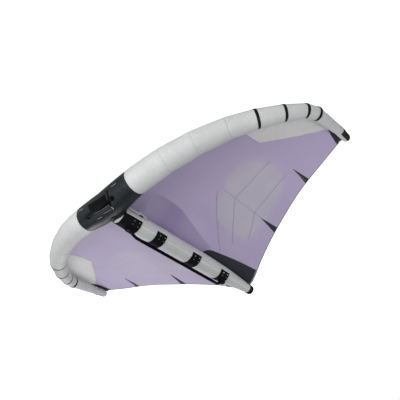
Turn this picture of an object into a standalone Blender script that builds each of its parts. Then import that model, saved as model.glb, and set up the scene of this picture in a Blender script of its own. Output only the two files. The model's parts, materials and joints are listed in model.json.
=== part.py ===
"""Inflatable wing for wingfoiling, resting on the floor with the rider's side up.

Metres. The wing is drawn level: the leading edge's centre is at the origin, +X is the right
arm, +Y is aft and +Z is the rider's side. An empty then pitches it to the angle it rests at.
"""

import math

import bmesh
import bpy
import numpy as np
from mathutils import Matrix, Vector

WING_NAME = "wingfoil_wing"

# Plan of the wing
HALF_SPAN = 1.69
TIP_SWEEP = 1.24
TIP_DROP = 0.422
REST_PITCH = math.radians(15.525)

# Gaps and cuts, and the share of a span or chord over which a slope is read
SEAT_GAP = 0.0003
CUT_OVERRUN = 0.02
JOIN_OVERLAP = 0.001
MERGE_DISTANCE = 0.00001
SLOPE_STEP_SHARE = 0.002

# Leading edge tube: x, sweep, drop and radius, as shares of the four sizes that they follow
CENTRE_RADIUS = 0.12
LEADING_EDGE_SHARES = (
    (0.0, 0.0225, 0.0, 1.07),
    (0.08, 0.0195, 0.0075, 1.065),
    (0.15, 0.0155, 0.0275, 1.01),
    (0.2, 0.017, 0.047, 0.99),
    (0.533, 0.12, 0.336, 0.866),
    (0.808, 0.319, 0.609, 0.678),
    (0.908, 0.44, 0.739, 0.581),
    (0.978, 0.556, 0.844, 0.499),
    (1.0, 0.644, 0.893, 0.452),
    (0.996, 1.0, 1.0, 0.286),
)
PATH_SAMPLES = 16
TUBE_SIDES = 16
ROW_LENGTH = 0.12
SLEEVE_WALL = 0.0025
SLEEVE_SEAM_GAP = 0.0006
WRAP_WALL = 0.004
GORE_SEAM_SHARES = (0.131, 0.277, 0.388, 0.504, 0.597, 0.69, 0.7685, 0.938)
TIP_CAP_SHARE = 0.986
TIP_CAP_ROWS = 5
TIP_DOME_SHARE = 0.6
BLADDER_WALL = 0.002
BLADDER_SLACK = 0.007
BLADDER_SIDES = 8
BLADDER_ROW_LENGTH = 0.14
BLADDER_END_SHARE = 0.95

# Centre strut, whose radius follows shares of its length, and the cap on its tail
STRUT_AXIS_HEIGHT = 0.044
STRUT_FRONT_Y = 0.05
STRUT_TAIL_Y = 1.81
STRUT_RADIUS = 0.088
STRUT_RADIUS_SHARES = ((0.0, 0.9), (0.2, 1.0), (0.46, 0.985), (0.69, 0.94), (0.862, 0.75), (1.0, 0.455))
STRUT_SIDES = 24
STRUT_ROWS = 10
TAIL_CAP_LENGTH = 0.06
TAIL_CAP_WALL = 0.004
TAIL_CAP_OVERLAP = 0.022
TAIL_CAP_ROUND_SHARES = ((0.0, 1.0), (0.5, 1.0), (0.85, 0.84), (1.0, 0.5))
STRUT_BLADDER_FRONT_GAP = 0.02
STRUT_BLADDER_TAIL_GAP = 0.05

# Canopy: its trailing edge runs from the strut's tail to the tip, in shares of the half span,
# of the way from the centre's y to the tip's, and of the tip's drop
TRAILING_CENTRE_Y = 1.824
TRAILING_TIP_SWEEP_SHARE = 0.992
TRAILING_EDGE_SHARES = (
    (0.0, 0.0, 0.0047),
    (0.3817, 0.5354, 0.4384),
    (0.6988, 0.8603, 0.763),
    (0.9533, 1.0, 1.0403),
)
CANOPY_WALL = 0.0015
CANOPY_FAN_POWER = 1.35
ATTACH_ANGLE_CENTRE = math.radians(-25)
ATTACH_ANGLE_ARMS = math.radians(-50)
ATTACH_BLEND_SHARE = 0.15
ATTACH_GAP = 0.0012
CAMBER_SHARE = 0.085
CAMBER_FRONT_POWER = 0.8
CAMBER_PEAK_SCALE = 1.9
VALLEY_HALF_WIDTH = 0.3
VALLEY_START_SHARE = 0.12
CANOPY_STRUT_GAP = 0.0006
PANEL_SEAM_GAP = 0.0004
PANEL_SPLIT_SHARES = (0.0, 0.3, 0.533, 1.0)
REINFORCEMENT_EDGE_SHARES = (
    (0.533, 0.14),
    (0.551, 0.298),
    (0.59, 0.332),
    (0.65, 0.382),
    (0.72, 0.43),
    (0.79, 0.455),
    (0.88, 0.35),
    (1.0, 0.47),
)
PANEL_COLUMNS = (8, 5, 8)
PANEL_ROWS = 12
REINFORCEMENT_ROWS = 5
HEM_RADIUS = 0.003
HEM_START_SHARE = 0.5

# Battens in their pockets: span shares of each one's front and rear, and the chord share of its front
BATTEN_SHARES = {"inner": (0.315, 0.324, 0.848), "outer": (0.604, 0.636, 0.77)}
BATTEN_WIDTH = 0.012
BATTEN_THICKNESS = 0.002
BATTEN_LIFT = 0.0007
BATTEN_END_MARGIN_SHARE = 0.03
POCKET_FRONT_WIDTH = 0.022
POCKET_REAR_WIDTH = 0.075
POCKET_WALL = 0.001
POCKET_FLAT_SHARE = 0.66
BATTEN_ROWS = 4

# Load patches beside the strut's tail: span and chord shares of each one's four corners
TAIL_PATCH_SHARES = ((0.014, 0.6), (0.04, 0.62), (0.096, 0.985), (0.014, 0.985))
TAIL_PATCH_LIFT = 0.0016
TAIL_PATCH_WALL = 0.001
TAIL_PATCH_COLUMNS = 4
TAIL_PATCH_ROWS = 8

# Mounting pads on the strut, with their screws
PAD_SPANS = ((0.144, 0.337), (0.508, 0.622), (0.946, 1.056), (1.33, 1.445))
PAD_SCREW_CENTRES = (0.283, 0.576, 1.008, 1.394)
PAD_HALF_ANGLE = math.radians(75)
PAD_WALL = 0.004
PAD_FACETS = 10
PLATE_WALL = 0.0015
PLATE_HALF_ANGLE = math.radians(60)
PLATE_FACETS = 8
PLATE_LENGTH = 0.084
SCREW_PITCH = 0.054
SCREW_ANGLES = (math.radians(36), math.radians(57))
SCREW_RADIUS = 0.003
SCREW_HEAD_RADIUS = 0.006
SCREW_HEAD_HEIGHT = 0.002
SCREW_SIDES = 6

# Boom tube and the feet that hold it
BOOM_RADIUS = 0.0135
BOOM_HEIGHT = 0.148
BOOM_FRONT_Y = 0.262
BOOM_REAR_Y = 1.406
BOOM_FRONT_RUN = 0.1
BOOM_REAR_RUN = 0.075
BOOM_BEND_SHARES = ((0.0, 0.0), (0.22, 0.3), (0.5, 0.66), (0.8, 0.93), (1.25, 1.0), (1.8, 1.0))
BOOM_SAMPLES = 3
FOOT_LENGTH = 0.062
FOOT_WIDTH = 0.044
FOOT_HEIGHT = 0.03
FOOT_FILLET = 0.005
SOCKET_CLEARANCE = 0.0004

# Front handle on the leading edge
HANDLE_ANCHOR_SHARE = 0.066
HANDLE_ANGLE = math.radians(130)
GRIP_RADIUS = 0.0135
GRIP_STAND_OFF = 0.007
GRIP_LIFT = 0.036
GRIP_LIFT_SHARES = ((0.0, 0.0), (0.1, 0.0), (0.22, 0.25), (0.4, 0.85), (0.6, 1.0), (1.0, 1.0))
GRIP_SAMPLES = 3
PIN_RADIUS = 0.005
PIN_LENGTH = 0.014
PIN_CLEARANCE = 0.0006
PIN_SIDES = 16
GRIP_END_GAP = 0.002
ANCHOR_BLOCK_LENGTH = 0.014
ANCHOR_BLOCK_WIDTH = 0.022
ANCHOR_FILLET = 0.002
ANCHOR_PATCH_ANGLE = math.radians(16)
ANCHOR_PATCH_SHARE = 0.014
ANCHOR_PATCH_WALL = 0.0025
ANCHOR_SINK_SHARE = 0.4
ANCHOR_TOP_SCALE = 1.6

# Inflation valve on the left arm, facing aft
VALVE_SHARE = -0.203
VALVE_ANGLE = math.radians(-8)
VALVE_STEPS = 20
VALVE_FLANGE_RADIUS = 0.036
VALVE_FLANGE_TOP = 0.003
VALVE_FLANGE_DEPTH = 0.009
VALVE_NECK_RADIUS = 0.026
VALVE_NECK_TOP = 0.012
VALVE_STEM_RADIUS = 0.0225
VALVE_STEM_DEPTH = 0.02
VALVE_BORE_RADIUS = 0.019
VALVE_BODY_CLEARANCE = 0.0005
VALVE_BODY_DEPTH = 0.004
VALVE_RIM_HEIGHT = 0.005
VALVE_MOUTH_RADIUS = 0.0125
CAP_RADIUS = 0.021
CAP_THICKNESS = 0.003
CAP_PLUG_LENGTH = 0.003
CAP_LUG_WIDTH = 0.012
CAP_HINGE_RADIUS = 0.0022
CAP_HINGE_REACH = 0.0235
CAP_TAB_SHARE = 0.8

# Air hose from the leading edge to the strut, with its pinch clamp
HOSE_RADIUS = 0.009
HOSE_WALL = 0.002
HOSE_X = -0.114
HOSE_HEIGHT = 0.03
HOSE_START_Y = 0.08
HOSE_END_Y = 0.365
HOSE_END_X = -0.058
HOSE_BEND_SHARES = (0.45, 0.22)
HOSE_SAMPLES = 2
CLAMP_Y = 0.275
CLAMP_LENGTH = 0.02
CLAMP_WIDTH = 0.034
CLAMP_HEIGHT = 0.026
CLAMP_FILLET = 0.002
LEVER_LENGTH = 0.046
LEVER_WIDTH = 0.012
LEVER_THICKNESS = 0.004
LEVER_PIN_RADIUS = 0.001
LEVER_GAP = 0.0006
LEVER_FILLET = 0.0008
PIVOT_SHARE = 0.25
EAR_LENGTH_SHARE = 0.45
EAR_HEIGHT = 0.01

MATERIALS = {
    "light_sleeve": ((0.72, 0.73, 0.74), 0.55, 0.0),
    "black_wrap": ((0.03, 0.035, 0.038), 0.5, 0.0),
    "lilac_canopy": ((0.42, 0.37, 0.55), 0.6, 0.0),
    "grey_reinforcement": ((0.62, 0.63, 0.64), 0.6, 0.0),
    "charcoal_patch": ((0.035, 0.036, 0.042), 0.6, 0.0),
    "clear_bladder": ((0.75, 0.78, 0.78), 0.3, 0.0),
    "batten_rod": ((0.6, 0.6, 0.55), 0.4, 0.0),
    "black_pad": ((0.012, 0.012, 0.013), 0.7, 0.0),
    "boom_black": ((0.008, 0.008, 0.009), 0.35, 0.0),
    "black_moulding": ((0.015, 0.015, 0.016), 0.5, 0.0),
    "screw_steel": ((0.5, 0.5, 0.5), 0.35, 1.0),
    "valve_plastic": ((0.1, 0.1, 0.11), 0.4, 0.0),
    "hose_tube": ((0.55, 0.57, 0.58), 0.35, 0.0),
}


def clear_scene():
    for obj in list(bpy.data.objects):
        bpy.data.objects.remove(obj)


def material(name):
    """The named material, made the first time it is asked for."""
    found = bpy.data.materials.get(name)
    if found:
        return found
    colour, roughness, metallic = MATERIALS[name]
    made = bpy.data.materials.new(name)
    made.use_nodes = True
    shader = made.node_tree.nodes["Principled BSDF"]
    shader.inputs["Base Color"].default_value = (*colour, 1.0)
    shader.inputs["Roughness"].default_value = roughness
    shader.inputs["Metallic"].default_value = metallic
    return made


def collection(name):
    made = bpy.data.collections.new(name)
    bpy.context.scene.collection.children.link(made)
    return made


def add_part(name, mesh, finish, origin=None):
    """Links a mesh as a named piece of the wing, with its origin where it turns if it moves."""
    obj = bpy.data.objects.new(name, mesh)
    bpy.data.collections[WING_NAME].objects.link(obj)
    obj.parent = bpy.data.objects["wing_frame"]
    obj.data.materials.append(material(finish))
    obj.data.shade_smooth()
    if origin is not None:
        obj.data.transform(Matrix.Translation(-origin))
        obj.location = origin
    return obj


def add_cutter(name, mesh):
    obj = bpy.data.objects.new(name, mesh)
    bpy.data.collections["cutters"].objects.link(obj)
    obj.parent = bpy.data.objects["wing_frame"]
    obj.hide_render = True
    obj.display_type = "WIRE"
    return obj


def boolean(obj, other, operation):
    modifier = obj.modifiers.new(other.name, "BOOLEAN")
    modifier.operation = operation
    modifier.object = other


def solidify(obj, wall, side):
    """Gives an open surface its wall: side -1 puts it inside the faces, 1 outside."""
    modifier = obj.modifiers.new("wall", "SOLIDIFY")
    modifier.thickness = wall
    modifier.offset = side


def bevel(obj, width, segments=2):
    modifier = obj.modifiers.new("rounded", "BEVEL")
    modifier.width = width
    modifier.segments = segments


def smooth_path(points, samples):
    """Points along a smooth curve through the given ones, paced by the distances between them."""
    points = np.array(points, float)
    gaps = np.linalg.norm(np.diff(points[:, :3], axis=0), axis=1)
    knots = np.concatenate([[0.0], np.cumsum(gaps)])
    slopes = np.gradient(points, knots, axis=0)
    found = []
    for i, gap in enumerate(gaps):
        for t in np.linspace(0.0, 1.0, samples, endpoint=False):
            start = (1 + 2 * t) * (1 - t) ** 2 * points[i] + t * (1 - t) ** 2 * gap * slopes[i]
            end = t**2 * (3 - 2 * t) * points[i + 1] - t**2 * (1 - t) * gap * slopes[i + 1]
            found.append(start + end)
    return np.array(found + [points[-1]])


def along(path, share):
    """The point at this share of a path's length."""
    steps = np.linalg.norm(np.diff(path[:, :3], axis=0), axis=1)
    length = np.concatenate([[0.0], np.cumsum(steps)])
    at = share * length[-1]
    return np.array([np.interp(at, length, path[:, k]) for k in range(path.shape[1])])


def path_length(path):
    return float(np.linalg.norm(np.diff(path[:, :3], axis=0), axis=1).sum())


def mirrored(points):
    """Both halves of a symmetric path, from the left tip to the right one."""
    left = [(-point[0], *point[1:]) for point in reversed(points[1:])]
    return left + list(points)


def edge_points():
    sizes = (HALF_SPAN, TIP_SWEEP, -TIP_DROP, CENTRE_RADIUS)
    return [tuple(share * size for share, size in zip(row, sizes)) for row in LEADING_EDGE_SHARES]


def trailing_points():
    run = TIP_SWEEP * TRAILING_TIP_SWEEP_SHARE - TRAILING_CENTRE_Y
    return [
        (HALF_SPAN * out, TRAILING_CENTRE_Y + run * forward, -TIP_DROP * down)
        for out, forward, down in TRAILING_EDGE_SHARES
    ]


def strut_points():
    """The strut's y and radius, as points that smooth_path can follow."""
    length = STRUT_TAIL_Y - STRUT_FRONT_Y
    return [(STRUT_FRONT_Y + length * run, 0, 0, STRUT_RADIUS * girth) for run, girth in STRUT_RADIUS_SHARES]


EDGE_PATH = smooth_path(mirrored(edge_points()), PATH_SAMPLES)
TRAILING_PATH = smooth_path(trailing_points(), PATH_SAMPLES)
STRUT_PROFILE = smooth_path(strut_points(), PATH_SAMPLES)
ARM_LENGTH = path_length(EDGE_PATH) / 2


def edge_frame(span):
    """Centre, radius and the three directions of the leading edge: span runs from -1 to 1."""
    here = along(EDGE_PATH, (span + 1) / 2)
    step = 2 * SLOPE_STEP_SHARE
    before = Vector(along(EDGE_PATH, (max(span - step, -1) + 1) / 2)[:3])
    after = Vector(along(EDGE_PATH, (min(span + step, 1) + 1) / 2)[:3])
    forward = (after - before).normalized()
    aft = Vector((0, 0, 1)).cross(forward).normalized()
    return Vector(here[:3]), float(here[3]), forward, aft, forward.cross(aft)


def on_edge(span, angle, lift=0.0):
    """A point on the tube: angle 0 faces aft, a quarter turn faces the rider."""
    centre, radius, _, aft, rider = edge_frame(span)
    return centre + (radius + lift) * (math.cos(angle) * aft + math.sin(angle) * rider)


def strut_radius(y):
    return float(np.interp(y, STRUT_PROFILE[:, 0], STRUT_PROFILE[:, 3]))


def tail_cap_radii():
    """The tail cap's inner and outer radius."""
    inner = strut_radius(STRUT_TAIL_Y - TAIL_CAP_OVERLAP) + SEAT_GAP
    return inner, inner + TAIL_CAP_WALL


def covered_radius(y):
    """The strut's radius, with its cap at the tail."""
    return strut_radius(y) if y < STRUT_TAIL_Y - TAIL_CAP_OVERLAP else tail_cap_radii()[1]


def on_strut(y, angle, lift=0.0):
    """A point on the strut: angle 0 faces the rider, and positive angles the right arm."""
    radius = strut_radius(y) + lift
    return Vector((radius * math.sin(angle), y, STRUT_AXIS_HEIGHT + radius * math.cos(angle)))


def canopy_point(span, chord):
    """A point of the canopy's rider side: span runs from -1 to 1, chord from 0 at the front."""
    half = abs(span)
    angle = ATTACH_ANGLE_CENTRE
    angle += (ATTACH_ANGLE_ARMS - ATTACH_ANGLE_CENTRE) * min(half / ATTACH_BLEND_SHARE, 1.0)
    front = on_edge(half, angle, ATTACH_GAP)
    rear = Vector(along(TRAILING_PATH, 1 - (1 - half) ** CANOPY_FAN_POWER))
    point = front.lerp(rear, chord)
    camber = CAMBER_PEAK_SCALE * chord**CAMBER_FRONT_POWER * (1 - chord)
    point.z -= CAMBER_SHARE * (rear - front).length * camber
    near = max(1 - point.x / VALLEY_HALF_WIDTH, 0.0)
    hold = near**2 * (3 - 2 * near) * min(chord / VALLEY_START_SHARE, 1.0)
    seat = STRUT_AXIS_HEIGHT - covered_radius(point.y) - CANOPY_STRUT_GAP
    point.z += hold * (seat - point.z)
    point.x = math.copysign(point.x, span)
    return point


def canopy_normal(span, chord):
    step = SLOPE_STEP_SHARE
    across = canopy_point(span + step, chord) - canopy_point(span - step, chord)
    aft = canopy_point(span, min(chord + step, 1)) - canopy_point(span, chord - step)
    return across.cross(aft).normalized()


def bent_grid(name, place, columns, rows, wrap=False, capped=False):
    """A grid whose corner shares a and b, from 0 to 1, go where place(a, b) says."""
    grid = bmesh.new()
    bmesh.ops.create_grid(grid, x_segments=columns, y_segments=rows, size=0.5)
    for vertex in grid.verts:
        vertex.co = place(vertex.co.x + 0.5, vertex.co.y + 0.5)
    if wrap:
        bmesh.ops.remove_doubles(grid, verts=grid.verts, dist=MERGE_DISTANCE)
    if capped:
        bmesh.ops.holes_fill(grid, edges=grid.edges)
        bmesh.ops.recalc_face_normals(grid, faces=grid.faces)
    mesh = bpy.data.meshes.new(name)
    grid.to_mesh(mesh)
    grid.free()
    return mesh


def edge_tube(name, start, end, lift, rows, sides=TUBE_SIDES, capped=False):
    """A stretch of the leading edge's tube between two span positions, lifted off its skin."""

    def place(a, b):
        return on_edge(start + (end - start) * a, -math.tau * b, lift)

    return bent_grid(name, place, rows, sides, wrap=True, capped=capped)


def strut_tube(name, start, end, lift, rows, sides=STRUT_SIDES, capped=False):
    def place(a, b):
        return on_strut(start + (end - start) * a, -math.tau * b, lift)

    return bent_grid(name, place, rows, sides, wrap=True, capped=capped)


def rows_for(length, row_length):
    return max(2, math.ceil(length / row_length))


def turned(name, profile, finish, matrix, steps=VALVE_STEPS, cutter=False):
    """A profile of radius and height, top to bottom on its outer side, turned about local Z."""
    mesh = bpy.data.meshes.new(name)
    outline = bmesh.new()
    corners = [outline.verts.new((radius, 0.0, height)) for radius, height in profile]
    closed = profile[0][0] > 0.0
    for first, second in zip(corners, corners[1:] + corners[:1] if closed else corners[1:]):
        outline.edges.new((first, second))
    outline.to_mesh(mesh)
    outline.free()
    obj = add_cutter(name, mesh) if cutter else add_part(name, mesh, finish)
    obj.matrix_basis = matrix
    screw = obj.modifiers.new("turned", "SCREW")
    screw.steps = steps
    screw.render_steps = steps
    screw.use_merge_vertices = True
    screw.merge_threshold = MERGE_DISTANCE
    return obj


def tube_mesh(name, points, radius, caps=True):
    """The mesh of a round tube along the points."""
    curve = bpy.data.curves.new(name, "CURVE")
    curve.dimensions = "3D"
    curve.bevel_depth = radius
    curve.bevel_resolution = 2
    curve.use_fill_caps = caps
    spline = curve.splines.new("POLY")
    spline.points.add(len(points) - 1)
    for place, point in zip(spline.points, points):
        place.co = (*point[:3], 1.0)
    guide = bpy.data.objects.new(name, curve)
    bpy.context.scene.collection.objects.link(guide)
    graph = bpy.context.evaluated_depsgraph_get()
    mesh = bpy.data.meshes.new_from_object(guide.evaluated_get(graph))
    bpy.data.objects.remove(guide)
    bpy.data.curves.remove(curve)
    welded = bmesh.new()
    welded.from_mesh(mesh)
    bmesh.ops.remove_doubles(welded, verts=welded.verts, dist=MERGE_DISTANCE)
    welded.to_mesh(mesh)
    welded.free()
    mesh.materials.clear()
    return mesh


def cylinder_mesh(name, radius, depth, sides, matrix):
    solid = bmesh.new()
    bmesh.ops.create_cone(
        solid, cap_ends=True, segments=sides, radius1=radius, radius2=radius, depth=depth, matrix=matrix
    )
    mesh = bpy.data.meshes.new(name)
    solid.to_mesh(mesh)
    solid.free()
    return mesh


def box_mesh(name, size, matrix):
    solid = bmesh.new()
    bmesh.ops.create_cube(solid, size=1.0, matrix=matrix @ Matrix.Diagonal((*size, 1.0)))
    mesh = bpy.data.meshes.new(name)
    solid.to_mesh(mesh)
    solid.free()
    return mesh


def facing(point, normal, toward):
    """A place whose Z runs along normal and whose X runs as near to toward as it can."""
    z = normal.normalized()
    y = z.cross(toward).normalized()
    x = y.cross(z)
    return Matrix.Translation(point) @ Matrix((x, y, z)).transposed().to_4x4()


def build_leading_edge():
    """The black wrap at the centre, then each arm's sewn gores and its end cap."""
    half_gap = SLEEVE_SEAM_GAP / 2 / ARM_LENGTH
    first = GORE_SEAM_SHARES[0]
    rows = rows_for(2 * first * ARM_LENGTH, ROW_LENGTH)
    wrap = add_part(
        "leading_edge_centre_wrap",
        edge_tube("leading_edge_centre_wrap", -first + half_gap, first - half_gap, 0.0, rows),
        "black_wrap",
    )
    solidify(wrap, WRAP_WALL, -1)
    for side, sign in (("left", -1), ("right", 1)):
        for number, (start, end) in enumerate(zip(GORE_SEAM_SHARES, GORE_SEAM_SHARES[1:]), 1):
            name = f"leading_edge_gore_{side}_{number}"
            spans = sorted((sign * (start + half_gap), sign * (end - half_gap)))
            rows = rows_for((end - start) * ARM_LENGTH, ROW_LENGTH)
            gore = add_part(name, edge_tube(name, *spans, 0.0, rows), "light_sleeve")
            solidify(gore, SLEEVE_WALL, -1)
        build_tip_cap(f"tip_cap_{side}", sign, half_gap)


def build_tip_cap(name, sign, half_gap):
    """The last stretch of an arm, closed by a dome."""
    start = GORE_SEAM_SHARES[-1] + half_gap

    def place(a, b):
        inward = a if sign > 0 else 1 - a
        turn = max(inward - TIP_DOME_SHARE, 0.0) / (1 - TIP_DOME_SHARE)
        straight = min(inward / TIP_DOME_SHARE, 1.0)
        span = start + (TIP_CAP_SHARE - start) * straight
        centre, radius, forward, aft, rider = edge_frame(sign * span)
        quarter = turn * math.pi / 2
        centre = centre + sign * forward * radius * math.sin(quarter)
        around = -math.tau * b
        reach = radius * math.cos(quarter)
        return centre + reach * (math.cos(around) * aft + math.sin(around) * rider)

    cap = add_part(name, bent_grid(name, place, TIP_CAP_ROWS, TUBE_SIDES, wrap=True), "light_sleeve")
    solidify(cap, SLEEVE_WALL, -1)


def build_bladders():
    """The air bladders that the leading edge and the strut hold."""
    lift = -WRAP_WALL - BLADDER_SLACK
    end = BLADDER_END_SHARE
    rows = rows_for(2 * end * ARM_LENGTH, BLADDER_ROW_LENGTH)
    mesh = edge_tube("leading_edge_bladder", -end, end, lift, rows, BLADDER_SIDES, capped=True)
    solidify(add_part("leading_edge_bladder", mesh, "clear_bladder"), BLADDER_WALL, -1)
    centre, radius = edge_frame(0.0)[:2]
    start, end = centre.y + radius + STRUT_BLADDER_FRONT_GAP, STRUT_TAIL_Y - STRUT_BLADDER_TAIL_GAP
    rows = rows_for(end - start, BLADDER_ROW_LENGTH)
    mesh = strut_tube("strut_bladder", start, end, lift, rows, BLADDER_SIDES, capped=True)
    solidify(add_part("strut_bladder", mesh, "clear_bladder"), BLADDER_WALL, -1)


def build_strut():
    """The strut's sleeve, shaped to the leading edge in front, and the cap on its tail."""
    mesh = strut_tube("strut_sleeve", STRUT_FRONT_Y, STRUT_TAIL_Y, 0.0, STRUT_ROWS)
    sleeve = add_part("strut_sleeve", mesh, "light_sleeve")
    solidify(sleeve, SLEEVE_WALL, -1)
    first = GORE_SEAM_SHARES[0]
    rows = rows_for(2 * first * ARM_LENGTH, ROW_LENGTH)
    cope = edge_tube("leading_edge_cut", -first, first, SEAT_GAP, rows, capped=True)
    boolean(sleeve, add_cutter("leading_edge_cut", cope), "DIFFERENCE")

    inner, outer = tail_cap_radii()
    back = TAIL_CAP_LENGTH - TAIL_CAP_OVERLAP
    profile = [(outer * across, back * height) for across, height in TAIL_CAP_ROUND_SHARES]
    profile += [(outer, -TAIL_CAP_OVERLAP), (inner, -TAIL_CAP_OVERLAP), (inner, SEAT_GAP), (0.0, SEAT_GAP)]
    place = facing(Vector((0, STRUT_TAIL_Y, STRUT_AXIS_HEIGHT)), Vector((0, 1, 0)), Vector((1, 0, 0)))
    turned("strut_tail_cap", profile, "black_moulding", place, steps=STRUT_SIDES)


def reinforcement_edge(span):
    spans, chords = zip(*REINFORCEMENT_EDGE_SHARES)
    return float(np.interp(abs(span), spans, chords))


def build_panel(name, spans, chords, columns, rows, finish):
    """One sewn panel: chords gives its front and rear edge at a span position."""
    half_gap = PANEL_SEAM_GAP / 2

    def place(a, b):
        span = spans[0] + (spans[1] - spans[0]) * a
        front, rear = chords(span)
        trim = half_gap / (canopy_point(span, 1.0) - canopy_point(span, 0.0)).length
        front += trim if front > 0.0 else 0.0
        rear -= trim if rear < 1.0 else 0.0
        return canopy_point(span, front + (rear - front) * b)

    panel = add_part(name, bent_grid(name, place, columns, rows), finish)
    solidify(panel, CANOPY_WALL, -1)


def whole_chord(span):
    return 0.0, 1.0


def in_front(span):
    return 0.0, reinforcement_edge(span)


def behind(span):
    return reinforcement_edge(span), 1.0


def build_canopy():
    """A middle panel, two panels a side, and the stiffer cloth behind each tip's leading edge."""
    half_gap = PANEL_SEAM_GAP / 2 / ARM_LENGTH
    middle, outer, end = PANEL_SPLIT_SHARES[1:]
    inner_columns, outer_columns, tip_columns = PANEL_COLUMNS
    spans = (half_gap - middle, middle - half_gap)
    build_panel("canopy_middle", spans, whole_chord, 2 * inner_columns, PANEL_ROWS, "lilac_canopy")
    for side, sign in (("left", -1), ("right", 1)):
        spans = sorted((sign * (middle + half_gap), sign * (outer - half_gap)))
        name = f"canopy_outer_{side}"
        build_panel(name, spans, whole_chord, outer_columns, PANEL_ROWS, "lilac_canopy")
        spans = sorted((sign * (outer + half_gap), sign * end))
        rows = PANEL_ROWS - REINFORCEMENT_ROWS
        build_panel(f"canopy_tip_{side}", spans, behind, tip_columns, rows, "lilac_canopy")
        name = f"tip_reinforcement_{side}"
        build_panel(name, spans, in_front, tip_columns, REINFORCEMENT_ROWS, "grey_reinforcement")
        build_hem(f"trailing_edge_hem_{side}", sign)


def hem_spans():
    """The span positions of the canopy's columns of corners, from the tail cap's side to the tip."""
    start = tail_cap_radii()[1] * HEM_START_SHARE / path_length(TRAILING_PATH)
    found = [1 - (1 - start) ** (1 / CANOPY_FAN_POWER)]
    for start, end, columns in zip(PANEL_SPLIT_SHARES, PANEL_SPLIT_SHARES[1:], PANEL_COLUMNS):
        found += list(np.linspace(start, end, columns + 1)[1:])
    return found[:-1]


def build_hem(name, sign):
    """The tape bound along the trailing edge."""
    step = SLOPE_STEP_SHARE
    points = []
    for span in hem_spans():
        rear = canopy_point(sign * span, 1.0)
        along_edge = (canopy_point(sign * (span - step), 1.0) - rear).normalized()
        outward = rear - canopy_point(sign * span, 1 - step)
        outward -= outward.dot(along_edge) * along_edge
        points.append(rear + outward.normalized() * (HEM_RADIUS + PANEL_SEAM_GAP))
    add_part(name, tube_mesh(name, points, HEM_RADIUS), "charcoal_patch")


def build_battens():
    """Each batten lies on the canopy, under the tapered pocket that holds it."""
    for side, sign in (("left", -1), ("right", 1)):
        for kind, (front_span, rear_span, start) in BATTEN_SHARES.items():
            spans = (sign * front_span, sign * rear_span)
            build_batten(f"batten_{kind}_{side}", spans, start)
            build_pocket(f"batten_pocket_{kind}_{side}", spans, start)


def lifted(span, chord, lift):
    return canopy_point(span, chord) + canopy_normal(span, chord) * lift


def build_batten(name, spans, start):
    margin = BATTEN_END_MARGIN_SHARE
    half = BATTEN_WIDTH / 2 / ARM_LENGTH

    def place(a, b):
        chord = start + margin + (1 - margin - start - margin) * b
        span = np.interp(chord, (start, 1.0), spans)
        return lifted(span + half * (2 * a - 1), chord, BATTEN_LIFT)

    batten = add_part(name, bent_grid(name, place, 1, BATTEN_ROWS), "batten_rod")
    solidify(batten, BATTEN_THICKNESS, 1)


def build_pocket(name, spans, start):
    lift = BATTEN_LIFT + BATTEN_THICKNESS + SEAT_GAP

    def place(a, b):
        span = spans[0] + (spans[1] - spans[0]) * b
        width = POCKET_FRONT_WIDTH + (POCKET_REAR_WIDTH - POCKET_FRONT_WIDTH) * b
        offset = (2 * a - 1) * width / 2 / ARM_LENGTH
        fall = max(abs(2 * a - 1) - POCKET_FLAT_SHARE, 0.0) / (1 - POCKET_FLAT_SHARE)
        height = lift + (BATTEN_LIFT - lift) * fall
        return lifted(span + offset, start + (1 - start) * b, height)

    pocket = add_part(name, bent_grid(name, place, 6, BATTEN_ROWS), "charcoal_patch")
    solidify(pocket, POCKET_WALL, 1)


def build_tail_patches():
    """The patches that spread the load of the strut's tail into the canopy."""
    near_front, far_front, far_rear, near_rear = (Vector(corner) for corner in TAIL_PATCH_SHARES)
    for side, sign in (("left", -1), ("right", 1)):

        def place(a, b):
            outward = a if sign > 0 else 1 - a
            front = near_front.lerp(far_front, outward)
            span, chord = front.lerp(near_rear.lerp(far_rear, outward), b)
            return lifted(sign * span, chord, TAIL_PATCH_LIFT)

        name = f"tail_patch_{side}"
        patch = add_part(name, bent_grid(name, place, TAIL_PATCH_COLUMNS, TAIL_PATCH_ROWS), "charcoal_patch")
        solidify(patch, TAIL_PATCH_WALL, 1)


def strut_saddle(name, y_span, half_angle, facets, lift):
    """A patch over the strut's rider side, as an open surface facing out."""

    def place(a, b):
        return on_strut(y_span[0] + (y_span[1] - y_span[0]) * b, half_angle * (2 * a - 1), lift)

    return bent_grid(name, place, facets, 2)


def screw_places(centre_y, lift):
    """Where a pad's eight screws stand, and the way each one points."""
    places = []
    for y in (centre_y - SCREW_PITCH / 2, centre_y + SCREW_PITCH / 2):
        for angle in SCREW_ANGLES:
            for turn in (-angle, angle):
                outward = Vector((math.sin(turn), 0, math.cos(turn)))
                places.append((on_strut(y, turn, lift), outward))
    return places


def pad_stack():
    """The height of a pad's outer face over the strut."""
    return SEAT_GAP + PLATE_WALL + SEAT_GAP + PAD_WALL


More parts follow.
